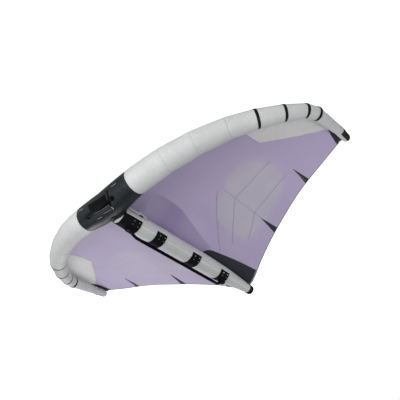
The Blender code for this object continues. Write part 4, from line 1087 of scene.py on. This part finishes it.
class WING_OT_canopy(bpy.types.Operator):
    """Stretches the canopy over the frame, with its seams, window and bound trailing edge"""

    bl_idname = "wing.canopy"
    bl_label = "Canopy"

    def execute(self, context):
        self.main_cloth()
        for side, sign in SIDES:
            self.reinforcement(side, sign)
            self.tip_gusset(side, sign)
            self.hem(side, sign)
        return {"FINISHED"}

    def main_cloth(self):
        lines = [line_on_canopy(seam) for seam in CANOPY_SEAMS]

        def place(a, b):
            span = 2 * a - 1
            points = canopy_point(span, b)
            normal = canopy_normal(span, b)
            mirrored = points * np.where(span < 0, -1, 1)[:, None] ** np.array([1, 0, 0])
            away = np.min([distance_to_line(mirrored, line) for line in lines], axis=0)
            shown = np.where(span < 0, 1.0, RIGHT_SIDE_SHOWN)
            window = in_window(np.abs(span), b) * shown
            # Painted shade where the strut and the leading edge shade the canopy, on the left side only
            panel = strut_shade_depth(np.abs(span), b) * (span < 0)
            lift = canopy_relief(span, b) - crease(away, 0.0012, 0.012)
            marks = {"Seam": away, "Window": window, "Shown": shown, "Panel": panel}
            return points + normal * lift[:, None], marks

        panels = ("outer_left", "outer_right", "tip_left", "tip_right")
        nodes = ("canopy_middle", *(f"canopy_{panel}" for panel in panels))
        grid, look = (420, 150), ("canopy_ripstop", "lilac_canopy")
        canopy = lay("canopy_ripstop", place, grid, (3.5, 1.4), *look, nodes, CANOPY_WALL)

    def reinforcement(self, side, sign):
        """The stiff cloth between the arm and the canopy's tip panel."""
        start = REINFORCEMENT_EDGE[0][0]

        def place(a, b):
            inward = a if sign > 0 else 1 - a
            span = start + (1 - start) * inward
            far = reinforcement_edge(span)
            chord = far * b
            away = np.minimum((far - chord) * chord_length(span), inward * (1 - start) * ARM_LENGTH)
            return on_canopy(sign * span, chord, 0.0011), {"Seam": away}

        look = ("reinforcement_cloth", "grey_reinforcement")
        node = (f"tip_reinforcement_{side}",)
        piece = lay(f"tip_cloth_{side}", place, (90, 40), (1.15, 0.45), *look, node, PATCH_WALL)

    def tip_gusset(self, side, sign):
        """The charcoal triangle between the tip's cloth and the arm's end."""
        run = (0.0, 0.8, 1.0)
        inner_edge = ((0.8805, 0.9385, 0.953), (0.335, 0.867, 1.0))
        tube_edge = ((0.889, 1.0, 1.0), (0.11, 0.0, 0.463))

        def place(a, b):
            across = a if sign > 0 else 1 - a
            inner = np.array([np.interp(b, run, line) for line in inner_edge])
            tube_side = np.array([np.interp(b, run, line) for line in tube_edge])
            span, chord = inner + (tube_side - inner) * across
            return on_canopy(sign * span, np.minimum(chord, 0.997), 0.0021)

        look = ("patch_cloth", "charcoal_patch")
        lay(f"tip_gusset_{side}", place, (16, 40), (0.12, 0.3), *look, (), PATCH_WALL, True)

    def hem(self, side, sign):
        """The tape folded over the trailing edge."""
        width = 0.006

        def place(a, b):
            span = 0.008 + 0.972 * (a if sign > 0 else 1 - a)
            fold = 2 * b - 1
            inset = np.clip(np.abs(fold) - 0.16, 0, 1) / 0.84
            chord = 1 - inset * width / np.maximum(chord_length(span), 0.15)
            turn = np.clip(fold / 0.16, -1, 1) * math.pi / 2
            aft = unit(canopy_point(sign * span, chord) - canopy_point(sign * span, chord - 0.01))
            points = on_canopy(sign * span, chord, -0.0009 * np.sin(turn) - 0.0004)
            return points + aft * (0.002 * np.cos(turn))[:, None]

        look, node = ("hem_tape", "charcoal_patch"), (f"trailing_edge_hem_{side}",)
        piece = lay(f"trailing_hem_{side}", place, (180, 16), (1.79, 0.03), *look, node)
        thicken(piece, 0.0004, 0.0)


class WING_OT_patches(bpy.types.Operator):
    """Sews the batten pockets and the strut's load patches to the canopy"""

    bl_idname = "wing.patches"
    bl_label = "Pockets and Patches"

    def execute(self, context):
        for side, sign in SIDES:
            for kind, row in BATTENS.items():
                self.pocket(f"pocket_{kind}_{side}", sign, row, f"batten_pocket_{kind}_{side}")
                dress(f"batten_{kind}_{side}", "batten_rod")
            self.tail_patch(side, sign)
        return {"FINISHED"}

    def pocket(self, name, sign, row, node):
        front_span, rear_span, start = row

        def place(a, b):
            width = 0.004 + 0.072 * b**1.1
            across = 2 * a - 1
            span = sign * (front_span + (rear_span - front_span) * b) + across * width / 2 / ARM_LENGTH
            chord = np.minimum(start - 0.01 + (1.004 - start) * b, 0.9985)
            ridge = np.clip(1.25 - np.abs(across) * np.maximum(width / 0.018, 1), 0, 1)
            ends = np.clip(b / 0.12, 0, 1) * np.clip((1.02 - b) / 0.06, 0, 1)
            height = 0.0012 + 0.003 * ridge**0.7 * ends
            return on_canopy(span, chord, height), {"Seam": (1 - np.abs(across)) * width / 2}

        lay(name, place, (24, 40), (0.06, 0.25), "patch_cloth", "charcoal_patch", (node,), PATCH_WALL)

    def tail_patch(self, side, sign):
        """A patch with a rounded point, between the strut and the trailing edge."""

        def place(a, b):
            inward = a if sign > 0 else 1 - a
            reach = (0.026 + 0.057 * b) * quarter_round(b / 0.14)
            away = np.minimum((1 - inward) * reach * ARM_LENGTH, b * 0.5)
            span, chord = 0.013 + reach * inward, 0.585 + 0.405 * b
            return on_canopy(sign * span, chord, 0.0018), {"Seam": away}

        name, look = f"tail_load_patch_{side}", ("patch_cloth", "charcoal_patch")
        lay(name, place, (18, 70), (0.15, 0.72), *look, (f"tail_patch_{side}",), CANOPY_WALL, True)


# Pads and boom


class WING_OT_pads(bpy.types.Operator):
    """Lays the four foam pads over the strut, with their screws"""

    bl_idname = "wing.pads"
    bl_label = "Pads"

    def execute(self, context):
        for number, (start, end) in enumerate(PAD_SPANS, 1):
            self.pad(number, start, end)
            dress(f"pad_screws_{number}", "screw_steel")
        return {"FINISHED"}

    def pad(self, number, start, end):
        half = math.radians(75)
        length = end - start

        def place(a, b):
            angle = half * (2 * a - 1)
            y = start + length * b
            radius = strut_radius(y)
            away = np.minimum(np.minimum(b, 1 - b) * length, np.minimum(a, 1 - a) * 2 * half * radius)
            groove = crease(away - 0.009, 0.0012, 0.0012)
            return on_strut(y, angle, PAD_LIFT - 0.0012 + 0.0052 * quarter_round(away / 0.004) - groove)

        name, node = f"strut_pad_foam_{number}", (f"strut_pad_{number}",)
        grid = (110, max(56, round(length / 0.002)))
        pad = lay(name, place, grid, (0.24, length), "pad_foam", "black_pad", node)


# Rows of run and rise, as shares, from a foot to the straight part
BOOM_RISE = ((0.0, 0.0), (0.22, 0.3), (0.5, 0.66), (0.8, 0.93), (1.25, 1.0), (1.8, 1.0))
BOOM_BEND_RUNS = (0.1, -0.075)
FOOT_HEIGHT = 0.004
GRIP_SLEEVE_ENDS = (0.4, 1.28)


def boom_points():
    """The boom's centreline, from the front foot to the rear one."""
    halves = []
    for y, run in zip((BOOM_FRONT_Y, BOOM_REAR_Y), BOOM_BEND_RUNS):
        low = float(strut_radius(y)) + PAD_LIFT + FOOT_HEIGHT + BOOM_RADIUS
        gain = BOOM_HEIGHT - low
        halves.append([(0, y + run * out, STRUT_AXIS_HEIGHT + low + gain * rise) for out, rise in BOOM_RISE])
    return smooth_path(halves[0] + halves[1][::-1], 10)


class WING_OT_boom(bpy.types.Operator):
    """Fits the rigid boom and dresses its two moulded feet"""

    bl_idname = "wing.boom"
    bl_label = "Boom"

    def execute(self, context):
        points = boom_points()
        mesh = tube("boom_bar", points, BOOM_RADIUS)
        add_piece("boom_bar", mesh, "boom_composite", "boom_black", ("boom_tube",))
        middle = [point for point in points if GRIP_SLEEVE_ENDS[0] < point[1] < GRIP_SLEEVE_ENDS[1]]
        radii = np.full(len(middle), 0.0142)
        radii[[0, -1]] = 0.0137
        add_piece("boom_grip_sleeve", tube("boom_grip_sleeve", middle, radii), "boom_wrap", "black_pad")
        for name in ("boom_front_foot", "boom_rear_foot"):
            dress(name, "black_moulding")
        return {"FINISHED"}


# Front handle

# Rows of both ends' places in metres along the edge, both their angles, width, crown and finish
HANDLE_STRIPS = (
    ((-0.15, -0.139), (170, 140), 0.016, 0.0022, "webbing"),
    ((-0.139, -0.112), (142, 118), 0.016, 0.0022, "webbing"),
    ((-0.172, -0.116), (139, 121), 0.012, 0.0022, "webbing"),
    ((-0.113, -0.105), (120, 106), 0.012, 0.0022, "webbing"),
    ((-0.103, -0.097), (108, 96), 0.008, 0.003, "print_and_highlight_strip"),
    # This strip along the lower lip of the recess is a painted highlight of the grip
    ((0.093, -0.1), (127, 119), 0.0025, 0.0016, "print_and_highlight_strip"),
    ((0.091, 0.044), (103, 101), 0.0035, 0.0009, "print_and_highlight_strip"),
    ((0.005, -0.08), (107, 100), 0.0025, 0.0009, "print_and_highlight_strip"),
    ((0.19, 0.25), (172, 174.5), 0.0045, 0.0009, "print_and_highlight_strip"),
    ((-0.205, -0.255), (168.5, 167), 0.0045, 0.0009, "print_and_highlight_strip"),
)


class WING_OT_front_handle(bpy.types.Operator):
    """Hangs the padded front handle over its recess on the leading edge"""

    bl_idname = "wing.front_handle"
    bl_label = "Front Handle"

    def execute(self, context):
        left, right = handle_ends()
        middle = (left + right) / 2
        outward = np.array((0.0, math.cos(HANDLE_ANGLE), math.sin(HANDLE_ANGLE)))
        half = np.linalg.norm(right - left) / 2 - 0.009
        shares = ((0.0, 0.0), (0.1, 0.0), (0.22, 0.25), (0.4, 0.85), (0.6, 1.0), (1.0, 1.0))
        route = [(-half * (1 - run), rise) for run, rise in shares]
        route += [(-x, rise) for x, rise in reversed(route[:-1])]
        path = smooth_path([middle + (x, 0, 0) + outward * 0.036 * rise for x, rise in route], 12)
        share = arc_lengths(path) / arc_lengths(path)[-1]
        middle_swell = np.clip((np.minimum(share, 1 - share) - 0.12) / 0.06, 0, 1)
        radii = 0.0098 + 0.0035 * middle_swell**0.6
        mesh, look = tube("front_grip", path, radii), ("grip_cover", "black_pad")
        grip = add_piece("front_grip", mesh, *look, ("front_handle_grip",), "front_handle")
        for side, sign, end in (("left", -1, left), ("right", 1, right)):
            self.anchor(side, sign, end, outward)
        self.recess()
        return {"FINISHED"}

    def anchor(self, side, sign, end, outward):
        """The sewn patch with the moulded block that carries one end of the grip."""

        def place(a, b):
            x, y = 2 * a - 1, 1 - 2 * b
            x, y = x * np.sqrt(1 - y * y / 2), y * np.sqrt(1 - x * x / 2)
            away = (1 - np.hypot(x, y)) * 0.022
            turn = HANDLE_ANGLE + math.radians(10) * y
            points = on_edge(sign * HANDLE_SPAN + 0.009 * x, turn, 0.0016 + 0.003 * soft_edge(away))
            return points, {"Seam": away}

        lay(f"handle_patch_{side}", place, (36, 36), (0.044, 0.044), "webbing", "black_moulding")
        low, high = -0.0192, 0.008
        spot = shifted(facing(end, outward, (1, 0, 0)), 0, (low + high) / 2)
        body = block("handle_block", (0.014, 0.022, high - low), spot, 0.0025)
        inside = Vector(end) - Vector((sign * 0.0115, 0, 0))
        bar_place = Matrix.Translation(inside) @ Matrix.Rotation(TURN / 4, 4, "Y")
        bar = pin("handle_pin", 0.0048, 0.0115, bar_place)
        name = f"handle_anchor_{side}"
        node = (f"front_handle_anchor_{side}",)
        add_piece(name, joined(name, [body, bar]), "black_moulding", "black_moulding", node)

    def recess(self):
        """The darker panel that the hand reaches into, near-black also as painted shade under the grip, and
        the straps and marks beside it, one of them a painted highlight along the panel's lower lip.
        """

        def place(a, b):
            s = (0.124 - 0.02 * b) * (2 * a - 1)
            angle = np.radians(168 - 46 * b + (6.5 - 1.5 * b) * (2 * a - 1))
            away = np.minimum(np.minimum(a, 1 - a) * 0.23, np.minimum(b, 1 - b) * 0.105)
            return on_edge(s / ARM_LENGTH, angle, 0.0036 * np.clip(away / 0.006, 0, 1)), {"Seam": away}

        lay("handle_recess_and_shade", place, (80, 40), (0.23, 0.105), "recess_cloth_and_shade", "black_wrap")
        for number, strip in enumerate(HANDLE_STRIPS, 1):
            self.strap(f"handle_strip_{number}", *strip)

    def strap(self, name, stations, angles, width, crown, look):
        """A straight strip laid on the wrap between two places, given along the edge and round it."""
        low, high = (np.array((s, math.radians(angle))) for s, angle in zip(stations, angles))
        radius = float(edge_at(0.0)[3])
        along = (high - low) * (1, radius)
        length = float(np.linalg.norm(along))
        side = np.array((-along[1], along[0])) / length * width

        def place(a, b):
            s, angle = (low + (high - low) * a[:, None] + (b[:, None] - 0.5) * side * (1, 1 / radius)).T
            lift = 0.0022 + crown * (1 - (2 * b - 1) ** 6)
            return on_edge(s / ARM_LENGTH, angle, lift), {"Seam": np.minimum(b, 1 - b) * width}

        mesh = bent(name, place, 60, 10, (length, width))
        outward = Vector(on_edge(low[0] / ARM_LENGTH, low[1]) - edge_at(0.0)[:3])
        if mesh.polygons[0].normal.dot(outward) < 0:
            flip(mesh)
        add_piece(name, mesh, look, "black_wrap")


# Valve and hose

# Rows of radius and height over the joint of the valve's body
VALVE_SEAT_PROFILE = (
    (0.026, 0.012),
    (0.026, 0.004),
    (0.028, 0.003),
    (0.035, 0.0016),
    (0.036, 0.0),
    (0.036, -0.004),
    (0.0225, -0.005),
    (0.0225, -0.02),
    (0.019, -0.02),
    (0.019, 0.012),
)
VALVE_BODY_PROFILE = (
    (0.026, 0.0173),
    (0.026, 0.0123),
    (0.0185, 0.0123),
    (0.0185, -0.004),
    (0.0125, -0.004),
    (0.0125, 0.0173),
)
VALVE_LID_PROFILE = (
    (0.0, 0.0206),
    (0.014, 0.0206),
    (0.0148, 0.0201),
    (0.0156, 0.0206),
    (0.0205, 0.0204),
    (0.021, 0.0198),
    (0.021, 0.0176),
    (0.012, 0.0176),
    (0.012, 0.0146),
    (0.0, 0.0146),
)
RIB_COUNT = 24


class WING_OT_valve(bpy.types.Operator):
    """Sets the inflation valve into the left arm: base, turning body and hinged cap"""

    bl_idname = "wing.valve"
    bl_label = "Inflation Valve"

    def execute(self, context):
        turn = joint("valve_body_turn")
        to_level = WING_PLACE.inverted()
        axis = to_level.to_3x3() @ Vector(turn["axis"])
        place = facing(to_level @ Vector(turn["pos_m"]), axis, edge_at(VALVE_SPAN)[4:7] * VALVE_SPAN)
        look = ("valve_plastic", "valve_plastic")
        add_piece("valve_seat", spun("valve_seat", VALVE_SEAT_PROFILE, place), *look, ("valve_base",))
        ribs = []
        for number in range(RIB_COUNT):
            spot = shifted(place @ Matrix.Rotation(number * TURN / RIB_COUNT, 4, "Z"), 0.026, 0.0148)
            ribs.append(block("rib", (0.0014, 0.0022, 0.0036), spot, 0.0004, 2))
        mesh = joined("valve_insert", [spun("valve_insert", VALVE_BODY_PROFILE, place), *ribs])
        add_piece("valve_insert", mesh, *look, ("valve_body",), "valve_body")
        hinge = shifted(place, 0.0235, 0.0198) @ Matrix.Rotation(TURN / 4, 4, "X")
        parts = [
            spun("valve_lid", VALVE_LID_PROFILE, place),
            pin("roll", 0.0022, 0.006, hinge),
            block("tab", (0.0067, 0.0096, 0.0024), shifted(place, 0.0202, 0.0191), 0.0006),
            block("lip", (0.008, 0.009, 0.0016), shifted(place, -0.0225, 0.0188), 0.0006),
        ]
        add_piece("valve_lid", joined("valve_lid", parts), *look, ("valve_cap",), "valve_cap")
        return {"FINISHED"}


def hose_points():
    """Straight aft out of the leading edge and through the clamp, then round into the strut."""
    bend_y = CLAMP_Y + 2 * CLAMP_LENGTH
    corner_x = (HOSE_X + HOSE_END_X) / 2
    straight = [HOSE_START_Y, CLAMP_Y - CLAMP_LENGTH, CLAMP_Y, CLAMP_Y + CLAMP_LENGTH, bend_y]
    route = [(HOSE_X, y, HOSE_HEIGHT) for y in straight]
    mid_x = HOSE_X + (corner_x - HOSE_X) * 0.45
    route.append((mid_x, HOSE_END_Y - (HOSE_END_Y - bend_y) * 0.22, HOSE_HEIGHT))
    route += [(corner_x, HOSE_END_Y, HOSE_HEIGHT), (HOSE_END_X, HOSE_END_Y, HOSE_HEIGHT)]
    return smooth_path(route, 10)


class WING_OT_hose(bpy.types.Operator):
    """Runs the air hose into the strut and dresses its clamp"""

    bl_idname = "wing.hose"
    bl_label = "Air Hose"

    def execute(self, context):
        mesh = tube("filling_hose", hose_points(), 0.009)
        add_piece("filling_hose", mesh, "hose_plastic", "hose_tube", ("air_hose",))
        for name, look in (("hose_clamp_body", "hose_plastic"), ("hose_clamp_lever", "black_moulding")):
            dress(name, look)
        return {"FINISHED"}


# Stage

# Rows of name, place, aim, width and power
LIGHTS = (
    ("key", (3.4, -3.2, 3.8), (0.0, 0.5, 0.3), 2.2, 50.0),
    ("front", (0.5, -5.0, 1.2), (0.0, 0.0, 0.2), 3.0, 104.0),
    ("front_low", (-3.0, -4.5, 0.7), (0.0, 0.0, 0.2), 1.2, 48.0),
    ("camera_side", (-4.5, -2.8, 3.5), (0.0, 0.5, 0.2), 2.0, 74.0),
    ("right", (4.6, 2.6, 2.6), (0.5, 0.5, 0.2), 2.5, 99.0),
    ("back", (-1.0, 5.0, 3.0), (0.0, 0.5, 0.2), 2.0, 28.0),
    ("back_left", (-3.5, 4.0, 3.5), (0.0, 0.5, 0.2), 2.5, 57.0),
)


# The photo's view, in the level wing's directions
CAMERA_PLACE = (-3.027, -1.918, 3.163)
CAMERA_LOOK, CAMERA_UP = (0.5214, 0.5242, -0.6734), (-0.483, -0.469, -0.739)
FLOOR_RADIUS = 90.0


class WING_OT_stage(bpy.types.Operator):
    """Lays the floor, sets the lights and aims the camera"""

    bl_idname = "wing.stage"
    bl_label = "Stage"

    def execute(self, context):
        self.floor()
        self.camera(context)
        self.lights(context)
        return {"FINISHED"}

    def floor(self):
        shape = bmesh.new()
        bmesh.ops.create_circle(shape, cap_ends=True, radius=FLOOR_RADIUS, segments=96)
        mesh = to_mesh(shape, "floor")
        floor = bpy.data.objects.new("floor", mesh)
        bpy.context.scene.collection.objects.link(floor)
        material, tree, shader = new_material("pale_floor")
        rough = ramp(tree, noise(tree, object_place(tree), 3.0, 2.0), 0.0, 1.0, 0.9, 1.0)
        seen = times(tree, shader_node(tree, "LightPath").outputs["Is Camera Ray"], 0.9)
        for name, value in (
            ("Roughness", rough),
            ("Base Color", (0.85, 0.85, 0.85, 1.0)),
            ("Specular IOR Level", 0.0),
            ("Emission Strength", seen),
            ("Emission Color", (1.0, 1.0, 1.0, 1.0)),
        ):
            plug(tree, shader.inputs[name], value)
        mesh.materials.append(material)
        floor.location.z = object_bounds()[0][2] - SEAT_GAP
        floor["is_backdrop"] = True

    def camera(self, context):
        data = bpy.data.cameras.new("camera")
        data.lens = 50.0
        data.sensor_width = 36.0
        data.clip_end = 400.0
        camera = bpy.data.objects.new("camera", data)
        context.scene.collection.objects.link(camera)
        back, up = (WING_PLACE.to_3x3() @ Vector(way) for way in (CAMERA_LOOK, CAMERA_UP))
        back = -back.normalized()
        side = up.cross(back).normalized()
        turn = Matrix((side, back.cross(side), back)).transposed().to_4x4()
        camera.matrix_world = Matrix.Translation(WING_PLACE @ Vector(CAMERA_PLACE)) @ turn
        context.scene.camera = camera

    def lights(self, context):
        world = bpy.data.worlds.new("studio")
        context.scene.world = world
        world.use_nodes = True
        background = world.node_tree.nodes["Background"]
        background.inputs["Color"].default_value = (1.0, 1.0, 1.0, 1.0)
        background.inputs["Strength"].default_value = context.scene.wing_settings.sky_strength
        for name, place, aim, size, power in LIGHTS:
            data = bpy.data.lights.new(name, "AREA")
            data.shape = "SQUARE"
            data.size = size
            data.energy = power
            light = bpy.data.objects.new(name, data)
            context.scene.collection.objects.link(light)
            light.location = place
            way = Vector(aim) - Vector(place)
            light.rotation_euler = way.to_track_quat("-Z", "Y").to_euler()
        context.scene.view_settings.view_transform = "Standard"


def colour(label, about, default):
    numbers = {"subtype": "COLOR", "size": 3, "min": 0, "max": 1}
    return FloatVectorProperty(name=label, description=about, default=default, **numbers)


def length(label, about, default):
    return FloatProperty(name=label, description=about, default=default, unit="LENGTH")


class WingSettings(bpy.types.PropertyGroup):
    """The sizes and colours that a user would change"""

    canopy_colour: colour("Canopy", "Colour of the canopy cloth", (0.523, 0.453, 0.668))
    # The front panel colour is a painted shade: the darker violet where the strut and the leading edge shade
    # the canopy
    strut_shade_colour: colour("Front panel", "Colour of the cloth beside the strut", (0.335, 0.278, 0.475))
    window_colour: colour("Window", "Colour of the canopy's middle window", (0.558, 0.525, 0.635))
    sleeve_colour: colour("Sleeve", "Colour of the inflated sleeves", (0.66, 0.665, 0.67))
    wrap_colour: colour("Wrap", "Colour of the wrap at the centre", (0.0125, 0.016, 0.019))
    reinforcement_colour: colour("Tip cloth", "Colour of the stiff tip cloth", (0.77, 0.77, 0.775))
    patch_colour: colour("Patches", "Colour of patches and pockets", (0.037, 0.039, 0.05))
    hem_colour: colour("Hem", "Colour of the tape on the trailing edge", (0.2, 0.175, 0.26))
    band_width: length("Band width", "Width of the arms' bands", 0.024)
    seam_depth: length("Seam depth", "How far a seam pinches", 0.0016)
    sky_strength: FloatProperty(name="Sky", description="Strength of the sky's light", default=0.12, min=0.0)


OPERATORS = (
    WING_OT_leading_edge,
    WING_OT_bladders,
    WING_OT_strut,
    WING_OT_canopy,
    WING_OT_patches,
    WING_OT_pads,
    WING_OT_boom,
    WING_OT_front_handle,
    WING_OT_valve,
    WING_OT_hose,
    WING_OT_stage,
)


class WING_PT_panel(bpy.types.Panel):
    """Lists the wing's settings and pieces"""

    bl_label = "Wing"
    bl_space_type = "VIEW_3D"
    bl_region_type = "UI"
    bl_category = "Wing"

    def draw(self, context):
        for name in WingSettings.__annotations__:
            self.layout.prop(context.scene.wing_settings, name)
        for operator in OPERATORS:
            self.layout.operator(operator.bl_idname)


CLASSES = (WingSettings, *OPERATORS, WING_PT_panel)


def register():
    for kind in CLASSES:
        bpy.utils.register_class(kind)
    bpy.types.Scene.wing_settings = PointerProperty(type=WingSettings)


def unregister():
    del bpy.types.Scene.wing_settings
    for kind in reversed(CLASSES):
        bpy.utils.unregister_class(kind)


def main():
    register()
    for operator in OPERATORS:
        group_name, action = operator.bl_idname.split(".")
        getattr(getattr(bpy.ops, group_name), action)()


if __name__ == "__main__":
    main()
